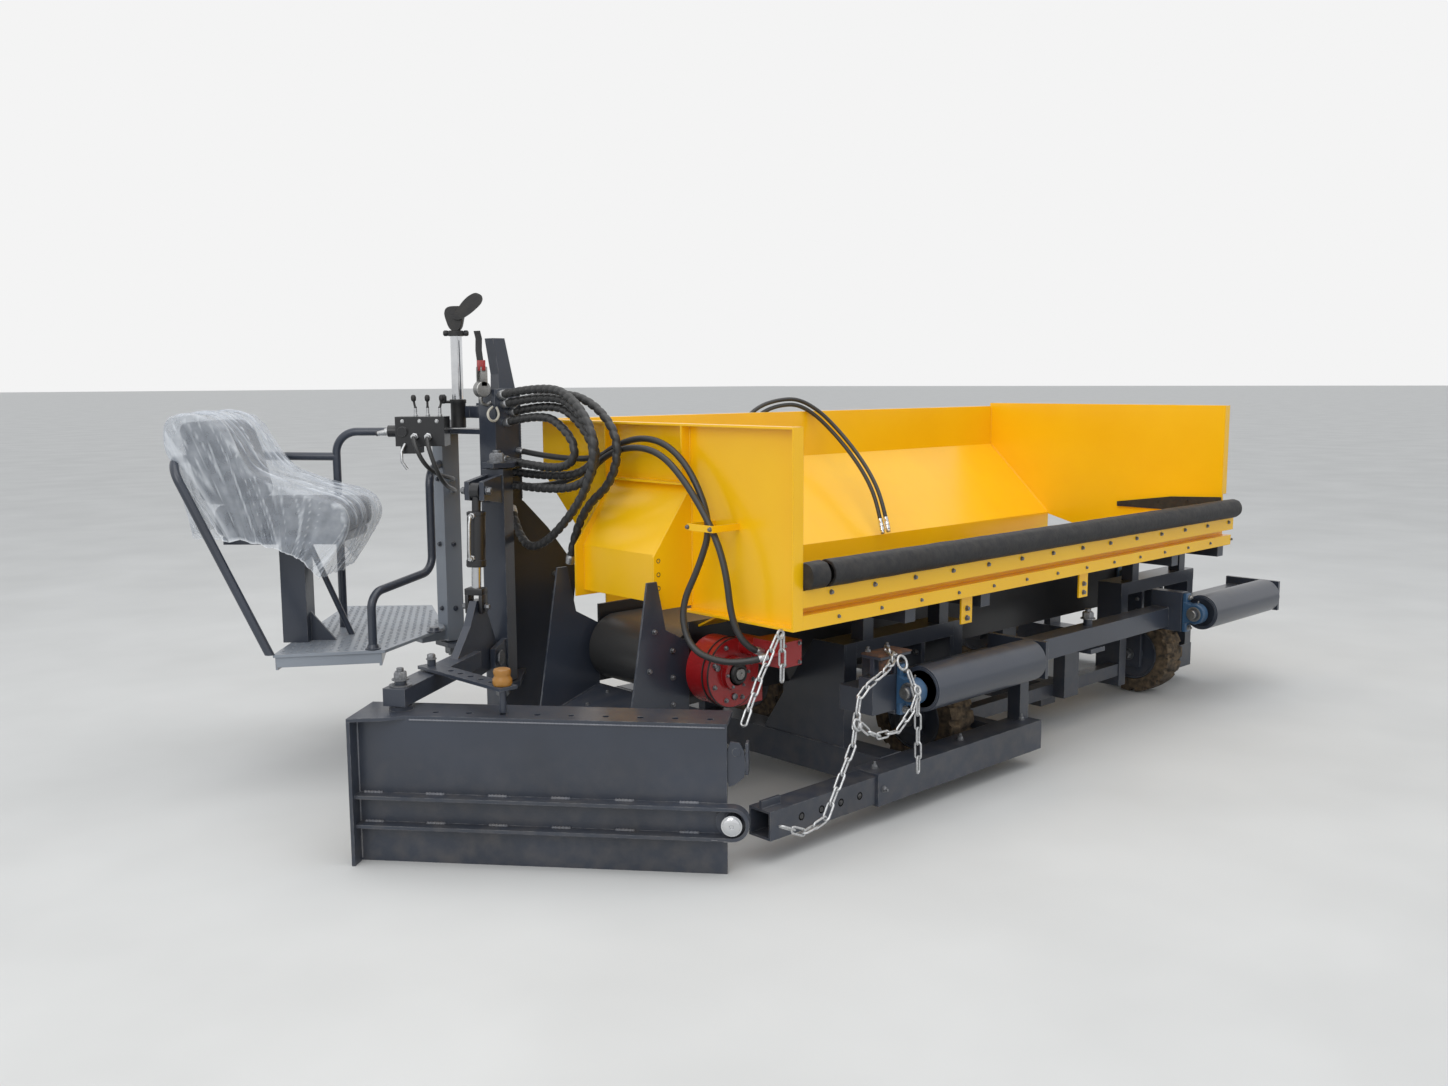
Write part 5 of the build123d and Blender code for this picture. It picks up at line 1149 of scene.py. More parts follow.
@dataclass
class PushBeam:
    """Truck push beam with its two rollers."""

    roller_y: float = -66.0
    roller_z: float = 462.0
    roller_starts: tuple[float, float] = (575.0, 2770.0)
    roller_length: float = 700.0

    def pillow_blocks(self) -> None:
        """Cast pillow blocks that hold the rollers' left ends."""
        y, z = self.roller_y, self.roller_z
        shape, steel = Shape(), Shape()
        turns = [radians(62 + 236 * k / 24) for k in range(25)]
        outline = [(60, -58), (60, 58)] + [(50 * cos(a), 50 * sin(a)) for a in turns]
        for x in (start - 50 for start in self.roller_starts):
            for sign in (-1, 1):
                low, high = sorted((z + sign * 48, z + sign * 95))
                shape.plate((x - 22, y + 38, low), (x + 22, y + 60, high), 5)
                steel.bolt((x, y + 38, z + sign * 74), TRUCK, 19, 6)
            rings = []
            for far, grow in ((-24, 0.93), (-20, 1), (20, 1), (24, 0.93)):
                ring = [Vector((x + far, y + dy * grow, z + dz * grow)) for dy, dz in outline]
                rings.append(ring)
            shape.loft(rings)
            for side in (-1, 1):
                steel.turned((x, y, z), (side, 0, 0), ((22, 36), (30, 35), (31, 29), (28, 23)), 28)
            steel.pin((x, y - 6, z + 48), (x, y - 10, z + 62), 4, 10)
        shape.build("pillow_blocks", "push_beam", Paint.BLUE, ["roller_bearings"])
        steel.build("pillow_block_steel", "push_beam", Paint.STEEL)

    def fittings(self) -> None:
        """Bolts of the brackets, the rusted rest plate and the beam's welds."""
        bolts = Shape()
        for right in (start + self.roller_length + 50 for start in self.roller_starts):
            bolts.bolts([(right, 100, 405), (right, 100, 520)], RIGHT, 18)
            bolts.bolt((right, self.roller_y, self.roller_z), RIGHT, 30)
        bolts.bolts([(420, 60, 600.5), (530, 60, 600.5)], UP, 20, 10)
        bolts.build("beam_bolts", "push_beam", Paint.BOLT)
        rest = Shape()
        rest.plate((386, -30, 600.3), (564, 66, 606), 1.5)
        rest.plate((400, -22, 540), (445, -7, 588), 2)
        rest.build("rest_plate", "push_beam", Paint.RUST)
        bead = Shape()
        columns = (495, 555, 2690, 2750, 1305, 1325)
        bead.welds([((x, 62, 479), (x, 150, 479)) for x in columns], 3.5)
        bead.weld((2692, 71, 498), (3515, 71, 498), 3)
        bead.build("beam_welds", "push_beam", Paint.GREY)

    def rollers(self) -> None:
        """End discs and shaft ends of the rollers."""
        y, z = self.roller_y, self.roller_z
        disc = ((0, 78), (2, 78), (2, 70), (-3, 66), (-3, 30), (4, 28), (4, 23))
        for name, x in zip(("left", "right"), self.roller_starts):
            shape = Shape()
            shape.turned((x, y, z), LEFT, disc, 40)
            shape.turned((x + self.roller_length, y, z), RIGHT, disc, 40)
            shape.build(f"roller_ends_{name}", f"push_roller_{name}", Paint.GREY)
            steel = Shape()
            steel.pin((x - 104, y, z), (x - 60, y, z), 22, 28, 2)
            steel.build(f"roller_shaft_end_{name}", f"push_roller_{name}", Paint.STEEL)

    def build(self) -> None:
        """Dress the beam and its rollers."""
        Paint.GREY.on("push_beam", "push_roller_left", "push_roller_right")
        self.pillow_blocks()
        self.fittings()
        self.rollers()


@dataclass
class Mast:
    """Mast with its hinges, swing post, sensor, ratchet and rope."""

    # Each swing pin's X and Y, and the heights of its lower and upper nut
    pins: tuple[tuple[float, ...], ...] = ((-300, 1360, 375, 1275), (-216, 1880, 455, 1395))
    ratchet_foot: Point = (-244.0, 1530.0, 1500.0)

    def hinges(self) -> None:
        """Nuts on the swing pins and bolts through the hinge plates."""
        shape = Shape()
        for x, y, low, high in self.pins:
            shape.bolt((x, y, high), UP, 52, 10)
            shape.bolt((x, y, low), DOWN, 52, 8)
        shape.bolts(product((-235, -170), (1478,), (395, 1275)), UP, 17)
        shape.bolts([(60, 1490, z) for z in (620, 700, 780)], TRUCK, 18)
        shape.build("hinge_bolts", "chassis", Paint.BOLT)
        bead = Shape()
        lines = [((-208, 1489, 200), (-208, 1489, 1140)), ((-92, 1498, 1110), (-92, 1498, 1550))]
        lines += [((-168, 1531, 1561), (-92, 1531, 1561)), ((-209, 1500, 193), (-91, 1500, 193))]
        bead.welds(lines)
        bead.build("mast_welds", "chassis", Paint.GREY)

    def ratchet(self) -> None:
        """Chain ratchet at the mast's head: frame, sprocket, hook and webbing strap."""
        x, y, low = self.ratchet_foot
        wheel = Shape()
        rim = ((0, 26), (0, 30), (3, 33), (31, 33), (34, 30), (34, 8))
        wheel.turned((x - 6, y - 17, low + 60), LOADER, rim, 28)
        wheel.build("ratchet_wheel", "chassis", Paint.STEEL, ["ratchet_hook"])
        steel = Shape()
        for middle in (y - 15, y + 15):
            steel.plate((x - 20, middle - 2, low + 70), (x + 12, middle + 2, low + 150), 3)
        steel.pin((x - 4, y - 20, low + 136), (x - 4, y + 20, low + 136), 7)
        hook = ((34, 6), (14, -4), (-8, 4), (-14, 22), (-8, 34))
        steel.tube([Vector((x + dx, y, low + dz)) for dx, dz in hook], 8)
        steel.build("ratchet_frame", "chassis", Paint.STEEL)
        strap = Shape()
        line = ((-4, 132), (-10, 170), (-16, 215), (-14, 262), (-22, 292))
        edge = ((-2, -21), (2, -21), (2, 21), (-2, 21))
        rings = [[Vector((x + dx + sx, y + sy, low + dz)) for sx, sy in edge] for dx, dz in line]
        strap.loft(rings)
        strap.build("ratchet_strap", "chassis", Paint.NYLON)
        tab = Shape()
        tab.plate((x - 14, y - 22, low + 134), (x + 1, y + 22, low + 176), 2)
        tab.build("ratchet_tab", "chassis", Paint.RED)
        rope = (
            (-205, 1520, 1490), (-248, 1496, 1476), (-252, 1486, 1440), (-214, 1492, 1428),
            (-190, 1494, 1462), (-206, 1498, 1488),
        )
        cable("hook_rope", rope, 5, Paint.ROPE)

    def sensor(self) -> None:
        """Grade sensor: clamp sleeve, chrome tube, knobs and the tilted head with its paddle."""
        chrome = Shape(SENSOR)
        chrome.turned((0, 0, 1505), UP, ((0, 24), (283, 24), (285, 22)), 32)
        chrome.build("sensor_tube", "chassis", Paint.CHROME, ["sensor_post"])
        dark = Shape(SENSOR)
        sleeve = ((0, 28), (3, 31), (100, 31), (104, 34), (116, 34), (118, 30), (118, 24))
        dark.turned((0, 0, 1400), UP, sleeve, 32)
        dark.turned((0, 0, 1778), UP, ((0, 30), (3, 34), (20, 34), (23, 28), (23, 20)), 32)
        head = (
            (-22, 1799), (-44, 1865), (-38, 1890), (-20, 1900), (40, 1900), (36, 1860), (22, 1799)
        )
        dark.prism(soften(head), (-22, 0.9), (-18, 1), (18, 1), (22, 0.9))
        paddle = (
            (-10, 1850), (20, 1840), (68, 1868), (110, 1905), (120, 1925), (116, 1944), (90, 1955),
            (58, 1938), (30, 1910),
        )
        dark.prism(soften(paddle), (-31, 1), (-21, 1))
        for side in (-1, 1):
            knob = ((0, 7), (8, 12), (20, 12), (24, 8))
            dark.turned((side * 28, 0, 1790), (side, 0, 0), knob, 16)
        dark.pin((-30, 0, 1507), (-62, 0, 1507), 6)
        dark.turned((-62, 0, 1500), UP, ((0, 8), (6, 15), (30, 15), (38, 8)), 16)
        dark.build("sensor_head", "chassis", Paint.NYLON)
        arm = Shape()
        arm.plate((-190, 1620, 1440), (-130, 1742, 1490), 3)
        arm.plate((-238, 1724, 1440), (-130, 1776, 1490), 3)
        arm.bolt((-160, 1700, 1490), UP, 17)
        arm.build("sensor_arm", "chassis", Paint.GREY)

    def build(self) -> None:
        """Dress the mast."""
        Paint.GREY.on("mast_frame", "swing_post")
        self.hinges()
        self.ratchet()
        self.sensor()


@dataclass
class Blade:
    """Levelling blade with its arm, lift cylinder and strut."""

    length: float = 1244.3
    pivot: tuple[float, float] = (1110.0, -85.0)
    nose: tuple[float, float] = (-20.0, 181.0)
    cylinder_top: tuple[float, float] = (200.0, 1180.0)
    cylinder_foot: tuple[float, float] = (230.0, 740.0)

    def stitches(self) -> None:
        """Stitch welds along both stiffeners, and the seams of plate, flange and end."""
        shape = Shape(BLADE)
        for z, x in product((125, 137, 225, 237), range(90, 1154, 212)):
            shape.weld((x, 4, z), (x + 66, 4, z), 7)
        end = self.length - 13
        shape.weld((6, 1, 487), (self.length - 190, 1, 487), 3.6)
        shape.weld((end, 1, 8), (end, 1, 480), 4)
        shape.weld((4, -13, 489), (self.length - 4, -13, 489), 3.4)
        for x, z in ((0, 126), (40, 130)):
            shape.weld((x - 14, 46, z), (x + 8, 46, z), 2)
        shape.build("blade_welds", "blade", Paint.WELD)

    def chain_bracket(self) -> None:
        """Bent plate at the blade's right end, for the chain."""
        shape = Shape(BLADE)
        outline = ((2, 442), (-52, 432), (-62, 330), (-24, 296), (2, 288))
        shape.prism(soften(outline, 1), (-20, 1), (-10, 1))
        shape.plate((-68, -52, 330), (-58, -9, 436), 2.5)
        shape.turned((-30, -21, 405), LOADER, ((0, 9), (0, 14), (13, 14), (13, 9)), 20)
        shape.build("chain_bracket", "blade", Paint.GREY)

    def nose_pin(self) -> None:
        """Chrome-headed pin in the blade's nose with its washer and nut."""
        x, z = self.nose
        shape = Shape(BLADE)
        head = ((0, 34), (4, 34), (4, 29), (10, 28), (13, 24), (13, 8), (10, 6))
        shape.turned((x, 50, z), LOADER, head, 36)
        shape.bolt((x, -31, z), TRUCK, 40, 8)
        shape.build("blade_nose_pin", "blade", Paint.CHROME)

    def joints(self) -> None:
        """Nuts at the blade's pivot, the strut's pins and its knob."""
        pivot = Shape(BLADE)
        pivot.bolt((*self.pivot, 600), UP, 40, 12)
        pivot.build("blade_pivot_nut", "blade", Paint.BOLT)
        washer = Shape(ARM)
        washer.turned((851.5, 0, 580.3), UP, ((0, 38), (4, 38), (4, 21)), 32)
        washer.turned((120, 46, 520), LOADER, ((0, 30), (7, 30), (7, 8)), 6)
        washer.build("arm_washers", "blade_arm", Paint.BOLT)
        start, end = ARM @ Vector((620, 0, 0)), BLADE @ Vector((750, -55, 0))
        strut = upright_plane(start.xy, (end - start).xy)
        nut = Shape(strut)
        nut.bolt((0, 0, 620), UP, 26)
        nut.build("strut_nut", "angle_strut", Paint.BOLT)
        knob = Shape(strut)
        profile = (
            (0, 20), (0, 30), (8, 33), (22, 32), (30, 27), (34, 27), (46, 30), (54, 27), (57, 18),
            (57, 4),
        )
        knob.turned(((end - start).length, 0, 597.5), UP, profile, 28)
        knob.build("strut_knob", "angle_strut", Paint.KNOB)

    def cylinder(self) -> None:
        """Gland, ports, feed pipes, rod and pins of the lift cylinder."""
        (top_x, top_z), (foot_x, foot_z) = self.cylinder_top, self.cylinder_foot
        top, foot = Vector((top_x, 0, top_z)), Vector((foot_x, 0, foot_z))
        along = (foot - top).normalized()
        dark = Shape(ARM)
        gland = ((0, 35), (2, 38), (24, 38), (28, 34), (28, 20))
        dark.turned(top + along * 262, along, gland, 32)
        dark.turned(top + along * 78, along, ((0, 30), (4, 37), (16, 37), (18, 34)), 32)
        dark.build("cylinder_gland", "lift_cylinder", Paint.BLACK)
        bright = Shape(ARM)
        for far in (92, 252):
            port = top + along * far + Vector((30, 0, 0))
            bright.turned(port, RIGHT, ((0, 12), (14, 12), (16, 9), (30, 9)), 6)
        line = ((92, 58), (120, 66), (220, 66), (252, 58))
        bright.tube([top + along * far + Vector((out, 0, 0)) for far, out in line], 5, 10)
        bright.build("cylinder_ports", "lift_cylinder", Paint.ZINC)
        bar = Shape(ARM)
        bar.pin(top + along * 130, top + along * 389, 18, 32)
        bar.build("lift_rod_bar", "lift_rod", Paint.CHROME, ["lift_rod"])
        fork = Shape(ARM)
        left, right = foot_x - 28, foot_x + 28
        fork.plate((left, -36, foot_z + 46), (right, 36, foot_z + 72), 3)
        for y in (-36, 20):
            fork.plate((left, y, foot_z - 25), (right, y + 16, foot_z + 48), 5)
        fork.build("lift_rod_fork", "lift_rod", Paint.BLACK)
        for name, body, middle, y, across in (
            ("cylinder_top_nuts", "swing_post", top, 44, 24),
            ("cylinder_foot_nuts", "blade_arm", foot, 40, 20),
        ):
            nuts = Shape(ARM)
            for side in (-1, 1):
                nuts.bolt((middle.x, side * y, middle.z), (0, side, 0), across)
            nuts.build(name, body, Paint.BOLT)

    def build(self) -> None:
        """Dress the blade and its linkage."""
        Paint.GREY.on("blade", "blade_arm", "angle_strut")
        Paint.BLACK.on("lift_cylinder")
        self.stitches()
        self.chain_bracket()
        self.nose_pin()
        self.joints()
        self.cylinder()


@dataclass
class Platform:
    """Operator platform: deck of chequer plate, column, rails and valves."""

    corners: tuple[tuple[float, float], ...] = (
        (-1054, 1794), (-700, 1572), (-285, 1816), (-44, 2332), (-349, 2598)
    )
    deck: float = 550.0
    pitch: float = 30.0
    valve_foot: float = 1300.0
    valve_front: float = -55.0

    def inside(self, x: float, y: float, margin: float) -> bool:
        """Whether a place lies on the deck.

        Args:
            x: the place's X.
            y: its Y.
            margin: how far it has to be from the deck's edges.

        Returns:
            True where it does.
        """
        for (ax, ay), (bx, by) in zip(self.corners, self.corners[1:] + self.corners[:1]):
            side = ((bx - ax) * (y - ay) - (by - ay) * (x - ax)) / hypot(bx - ax, by - ay)
            if side < margin:
                return False
        return True

    def chequer(self) -> None:
        """Raised lozenges of the chequer plate, every other one turned a quarter."""
        shape = Shape()
        x_way, y_way = Vector((0.848, -0.531, 0)), Vector((0.531, 0.848, 0))
        origin = Vector((*self.corners[0], self.deck))
        for i, j in product(range(-10, 60), range(-40, 60)):
            middle = origin + x_way * (i * self.pitch) + y_way * (j * self.pitch)
            if not self.inside(middle.x, middle.y, 16):
                continue
            turn = radians(45 if (i + j) % 2 else -45)
            tip = (x_way * cos(turn) + y_way * sin(turn)) * 12.5
            flank = (y_way * cos(turn) - x_way * sin(turn)) * 4.2
            low = [middle + tip, middle + flank, middle - tip, middle - flank]
            shape.loft([low, [middle.lerp(p, 0.55) + Vector((0, 0, 1.7)) for p in low]])
        shape.build("deck_chequer", "platform", Paint.DECK)

    def valves(self) -> None:
        """Levers, unions and cap screws of the valve block."""
        low, front = self.valve_foot, self.valve_front
        bright = Shape(VALVES)
        for x in (-20, 35):
            union = ((0, 15), (12, 15), (14, 11), (34, 11))
            bright.turned((x, front, low + 70), TRUCK, union, 6)
        inlet = ((0, 15), (14, 15), (16, 11), (46, 10), (52, 6))
        bright.turned((-140, 0, low + 90), (-52, 0, -12), inlet, 20)
        bright.bolts([(x, front, low + 132) for x in (-70, 0, 70)], TRUCK, 11)
        for x in (-30, 20, 70):
            bright.turned((x, 10, low + 150), UP, ((0, 9), (8, 9), (10, 6.5), (34, 6.5)), 16)
        line = ((-60, -8, 40), (-70, -30, 10), (-68, -34, -30), (-48, -30, -62))
        bright.tube([Vector((x, front + y, low + z)) for x, y, z in line], 6)
        bright.build("valve_unions", "platform", Paint.ZINC)
        dark = Shape(VALVES)
        for x, lean in ((-30, -6), (20, 0), (70, 8)):
            dark.pin((x, 10, low + 180), (x + lean, 10, low + 215), 4.5)
            knob = ((0, 5), (6, 10), (18, 11), (26, 8), (28, 3))
            dark.turned((x + lean, 10, low + 210), (lean * 0.3, 0, 50), knob, 18)
        dark.build("valve_knobs", "platform", Paint.NYLON)

    def details(self) -> None:
        """Clamps of the rails and the bolts of the column."""
        shape = Shape()
        for x, y in ((-725, 1620), (-372, 1755)):
            shape.turned((x, y, self.deck), UP, ((0, 30), (5, 30), (7, 24), (20, 19)), 24)
        for z in (620, 900, 1180):
            shape.bolt((-256, 1880, z), LEFT, 16)
            shape.bolt((-216, 1840, z), TRUCK, 16)
        shape.build("rail_feet", "platform", Paint.GREY)

    def build(self) -> None:
        """Dress the platform."""
        Paint.GREY.on("platform_rails", "seat_post")
        Paint.DECK.on("platform_deck")
        Paint.BLACK.on("control_valves")
        self.chequer()
        self.valves()
        self.details()


# The film's middle line from its rear hem to its front tail as X and Z, then the hem below it
FILM_ROWS = (
    (-338, 1012, -330, 1008), (-384, 1200, -322, 1004), (-386, 1272, -312, 1000),
    (-432, 1335, -300, 1004), (-430, 1440, -285, 996), (-390, 1466, -262, 1000),
    (-310, 1470, -245, 992), (-255, 1458, -228, 996), (-198, 1404, -200, 984),
    (-133, 1292, -150, 990), (-85, 1238, -95, 972), (20, 1198, -20, 958),
    (120, 1166, 50, 930), (205, 1146, 92, 905), (252, 1106, 118, 872),
    (264, 1040, 140, 850), (212, 940, 146, 842), (140, 842, 138, 838),
)


@dataclass
class Seat:
    """Operator's seat: cushion, back and the polyethylene film over them."""

    sides: tuple[float, float] = (-168.0, 306.0)
    crown: float = 14.0
    film_length: float = 1900.0
    film_grid: tuple[int, int] = (150, 120)
    film_flat: float = 0.5

    def pad(
        self, name: str, node: str, low: Point, high: Point, round_mm: float, lean: float
    ) -> None:
        """A foam pad in vinyl: crowned, with rounded edges and two sewn channels.

        Args:
            name: the piece's name.
            node: the CAD node that it replaces.
            low: lowest corner in the seat's plane.
            high: highest corner.
            round_mm: radius of its edges.
            lean: backward lean of its upper end in millimetres.
        """
        shape = Shape(SEAT)
        bmesh.ops.create_cube(shape.mesh, size=2.0)
        edges = shape.mesh.edges[:]
        bmesh.ops.subdivide_edges(shape.mesh, edges=edges, cuts=27, use_grid_fill=True)
        half = (Vector(high) - Vector(low)) / 2
        middle = (Vector(high) + Vector(low)) / 2
        tall = half.z > half.x
        for vert in shape.mesh.verts:
            p = vert.co * half
            inner = Vector([max(min(q, h - round_mm), round_mm - h) for q, h in zip(p, half)])
            if (p - inner).length > round_mm:
                p = inner + (p - inner).normalized() * round_mm
            u, v = (p.z / half.z if tall else p.x / half.x), p.y / half.y
            swell = self.crown * max(0, 1 - u * u) * max(0, 1 - v * v)
            swell -= sum(5 * exp(-(((p.y - seam) / 7) ** 2)) for seam in (-90, 90))
            if tall:
                p.x += (swell if p.x > half.x * 0.7 else 0) - lean * (0.5 + 0.5 * p.z / half.z)
            elif p.z > half.z * 0.6:
                p.z += swell
            vert.co = middle + p * 0.97
        piece = shape.build(name, "platform", Paint.VINYL, [node])

    def fold(
        self, far: float, across: float, head: Vector, foot: Vector, out: Vector
    ) -> tuple[Vector, float]:
        """One point of the film.

        Args:
            far: distance along the film from its rear hem.
            across: place across it, from -1 to 1.
            head: the middle line's point at that distance.
            foot: the hem below it.
            out: the direction square to the film's top.

        Returns:
            The point, and how much painted sheen the film gets there, most on its folds' ridges and
            hem.
        """
        low, high = self.sides[0] - 6, self.sides[1] + 6
        flat, share = self.film_flat, abs(across)
        if share <= flat:
            y = (low + high) / 2 + across / flat * (high - low) / 2
            # Long folds run from the back's top down over the cushion and fan a little
            fan = y * (1 + 0.12 * sin(far / 300)) + 0.05 * far
            ridge = max(0, 1 - abs(noise.noise(Vector((far / 520, fan / 48, 1.7)))) * 5.5)
            swell = noise.noise(Vector((far / 190, y / 120, 4)))
            edge = (share / flat) ** 6
            lift = (6 + 9 * ridge + 7 * swell) * (1 - 0.5 * edge) - 6 * edge
            # The folds' ridges get painted sheen
            return Vector((head.x, y, head.z)) + out * lift, ridge * ridge * 0.65
        side, y = (1, high) if across > 0 else (-1, low)
        hang = (share - flat) / (1 - flat)
        slant = far / 64 + 1.5 * hang * side
        fold = noise.noise(Vector((slant, hang * 0.7, side * 3)))
        ridge = max(0, 1 - abs(fold) * 5)
        sag = 14 * noise.noise(Vector((far / 150, side * 7, 0.4)))
        spot = Vector((head.x, y, head.z)).lerp(Vector((foot.x, y, foot.z - sag)), hang)
        spot.y += side * (2 + (4 + 12 * hang) * (0.5 + fold) + 5 * ridge * hang)
        spot -= out * 6 * (1 - hang) ** 6
        # The hem gets the strongest painted sheen, as an edge seen side-on; the folds' ridges get
        # some
        return spot, 0.9 if hang > 0.97 else ridge * ridge * 0.6

    def film(self) -> None:
        """Film thrown over the seat: a wrinkled top and two flaps that hang in folds."""
        top = read_line([(x, 0, z) for x, z, _, _ in FILM_ROWS], 4)
        hem = read_line([(x, 0, z) for _, _, x, z in FILM_ROWS], 4)
        along, across = self.film_grid
        shape = Shape(SEAT)
        # Each point's painted sheen, read by the film's material
        layer = shape.mesh.verts.layers.float.new("painted_sheen")
        grid = []
        for i in range(along + 1):
            k = min(int(i / along * (len(top) - 1)), len(top) - 2)
            foot = hem[min(int(i / along * (len(hem) - 1)), len(hem) - 1)]
            way = (top[k + 1] - top[k]).normalized()
            out = Vector((-way.z, 0, way.x))
            grid.append([])
            for j in range(across + 1):
                far = self.film_length * i / along
                spot, painted_sheen = self.fold(far, j / across * 2 - 1, top[k], foot, out)
                vert = shape.mesh.verts.new(spot)
                vert[layer] = painted_sheen
                grid[-1].append(vert)
        for one, two in zip(grid, grid[1:]):
            for j in range(across):
                shape.mesh.faces.new((one[j], one[j + 1], two[j + 1], two[j]))
        piece = shape.build("film", "platform", Paint.FILM, ["seat_film"])

    def build(self) -> None:
        """Make the seat."""
        low, high = self.sides
        self.pad("seat_pad", "seat_cushion", (-270, low, 1000), (235, high, 1124), 34, 0)
        back = ((-318, low + 12, 1118), (-160, high - 12, 1446))
        self.pad("seat_back_pad", "seat_back", *back, 46, 86)
        self.film()


class HoseKind(Enum):
    """How a hose looks: radius in millimetres and its guard's pitch."""

    WRAPPED = (17, 42)
    SMOOTH = (12, 0)
    SMALL = (9, 0)


FRONT_ROUTE = (
    (1250, 1556, 1212.3), (1250, 1556, 1300), (1300, 1555, 1385), (1375, 1545, 1440),
    (1465, 1520, 1468), (1555, 1485, 1472), (1632, 1440, 1423), (1690, 1380, 1343),
    (1722, 1300, 1250), (1730, 1210, 1150), (1714, 1128, 1055), (1694, 1072, 962),
    (1686, 1050, 905),
)
BACK_ROUTE = (
    (1205, 1556, 1212.3), (1205, 1556, 1308), (1256, 1556, 1402), (1350, 1547, 1467),
    (1462, 1520, 1496), (1558, 1482, 1499), (1645, 1426, 1443), (1701, 1363, 1361),
    (1729, 1280, 1268), (1738, 1189, 1166), (1724, 1106, 1069), (1706, 1049, 973),
    (1700, 1027, 914),
)
WRAPPED_ROUTES = (
    (
        (-170, 1499.5, 1500), (-150, 1190, 1545), (-190, 960, 1480), (-205, 838, 1360),
        (-205, 870, 1225), (-200, 1110, 1165), (-190, 1499.5, 1180),
    ),
    (
        (-130, 1499.5, 1465), (-135, 1200, 1510), (-155, 1010, 1440), (-165, 905, 1340),
        (-165, 930, 1262), (-160, 1130, 1215), (-150, 1499.5, 1225),
    ),
    (
        (-185, 1499.5, 1536), (-180, 1170, 1580), (-225, 930, 1515), (-245, 790, 1380),
        (-245, 850, 1180), (-235, 1130, 960), (-205, 1350, 930), (-150, 1489, 1080),
    ),
    (
        (-130, 1499.5, 1505), (-130, 1150, 1555), (-128, 930, 1500), (-128, 800, 1370),
        (-130, 850, 1210), (-140, 990, 1120), (-140, 1080, 990), (-140, 1110, 880),
    ),
    (
        (-160, 1499.5, 1425), (-160, 1235, 1468), (-190, 1055, 1410), (-200, 975, 1340),
        (-200, 1005, 1275), (-195, 1160, 1252), (-178, 1499.5, 1275),
    ),
)
DRIVE_ROUTES = (
    (
        (-104, 1499.5, 1310), (-80, 1300, 1285), (-62, 1020, 1290), (-62, 905, 1350),
        (-62, 750, 1385), (-62, 600, 1360), (-62, 470, 1260), (-66, 372, 1085),
        (-100, 400, 940), (-145, 452, 790), (-150, 400, 650), (-120, 270, 615),
        (-50, 170, 628), (-6, 150, 640),
    ),
    (
        (-104, 1499.5, 1165), (-100, 1300, 1165), (-96, 1020, 1250), (-96, 905, 1322),
        (-96, 745, 1352), (-96, 600, 1328), (-96, 470, 1232), (-96, 335, 1080),
        (-100, 262, 940), (-96, 240, 760), (-60, 196, 665), (10, 196, 645),
    ),
)
# A swaged coupling: distance past the hose's end, and radius
COUPLING = (
    (-16, 10.4), (-15, 12.2), (6, 12.6), (8, 11.8), (10, 12.6), (14, 11.8), (16, 12.8), (22, 12.8),
    (24, 10), (26, 13), (44, 13), (46, 10.5), (58, 10.5), (60, 9), (60, 6), (52, 5.5),
)


@dataclass
class Hoses:
    """Hydraulic hoses: the wrapped bundle, the drive's, the valves' and two loose ones."""

    step: float = 5.0

    def hose(
        self, name: str, body: str, routes: Sequence[Sequence[Point]], kind: HoseKind, node: str
    ) -> None:
        """Hoses of one kind along their routes, with a ferrule at each end.

        Args:
            name: the piece's name.
            body: the body that carries it.
            routes: the corners of each hose.
            kind: its radius and guard.
            node: the CAD node that it replaces.
        """
        radius, wrap = kind.value
        shape, ends = Shape(), Shape()
        ferrule = ((0, radius * 0.8), (0, radius + 1), (22, radius + 2), (30, radius + 2))
        ferrule += ((34, radius + 0.3),)
        for route in routes:
            line = read_line(route, self.step)
            shape.tube(line, radius, 16 if wrap else 14, wrap)
            ends.turned(line[0], line[8] - line[0], ferrule, 20)
            ends.turned(line[-1], line[-9] - line[-1], ferrule, 20)
        shape.build(name, body, Paint.HOSE, [node])
        ends.build(f"{name}_ferrules", body, Paint.ZINC)

    def loose(self, name: str, route: Sequence[Point]) -> None:
        """One loose hose with its swaged coupling.

        Args:
            name: front or back.
            route: its corners, the same as in the part's source.
        """
        curve = cable(f"loose_hose_{name}", route, 10, Paint.HOSE)
        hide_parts(f"free_hose_{name}")
        shape = Shape()
        tip = Vector(route[-1])
        shape.turned(tip, tip - Vector(route[-2]), COUPLING, 28)
        coupling = shape.build(f"coupling_{name}", "chassis", Paint.CHROME, ["hose_couplings"])

    def build_cords(self) -> None:
        """The two loose hoses over the rear rim."""
        self.loose("front", FRONT_ROUTE)
        self.loose("back", BACK_ROUTE)

    def build(self) -> None:
        """The other hoses."""
        self.hose("wrapped_hoses", "chassis", WRAPPED_ROUTES, HoseKind.WRAPPED, "hose_bundle")
        self.hose("drive_hoses", "chassis", DRIVE_ROUTES, HoseKind.SMOOTH, "gearbox_hoses")
        routes = []
        for x, drop in ((-20, 0), (35, 50)):
            corners = ((x, -55.3, 1370), (x, -125, 1370), (x + 60, -115, 1230 - drop))
            route = [tuple(VALVES @ Vector(corner)) for corner in corners]
            routes.append(route + [(-220, y, 1180 - drop) for y in (1779.7, 1839.7)])
        self.hose("valve_lines", "platform", routes, HoseKind.SMALL, "valve_hoses")


HOPPER_CHAINS = (
    ((-64, 50, 734), (-150, 50, 600), (-228, 50, 455)),
    ((-36, 54, 734), (-38, 54, 545)),
)
BEAM_CHAINS = (
    (
        (470, 20, 615.5), (405, -75, 615.5), (300, -135, 595), (130, -150, 540),
        (85, -160, 370), (-15, -172, 235), (-75, -178, 150), (-180, -178, 135),
        (-285, -170, 185),
    ),
    ((430, -120, 560), (445, -150, 470), (455, -150, 165)),
    ((100, -180, 440), (170, -180, 385), (300, -180, 380), (405, -170, 450), (430, -160, 500)),
)


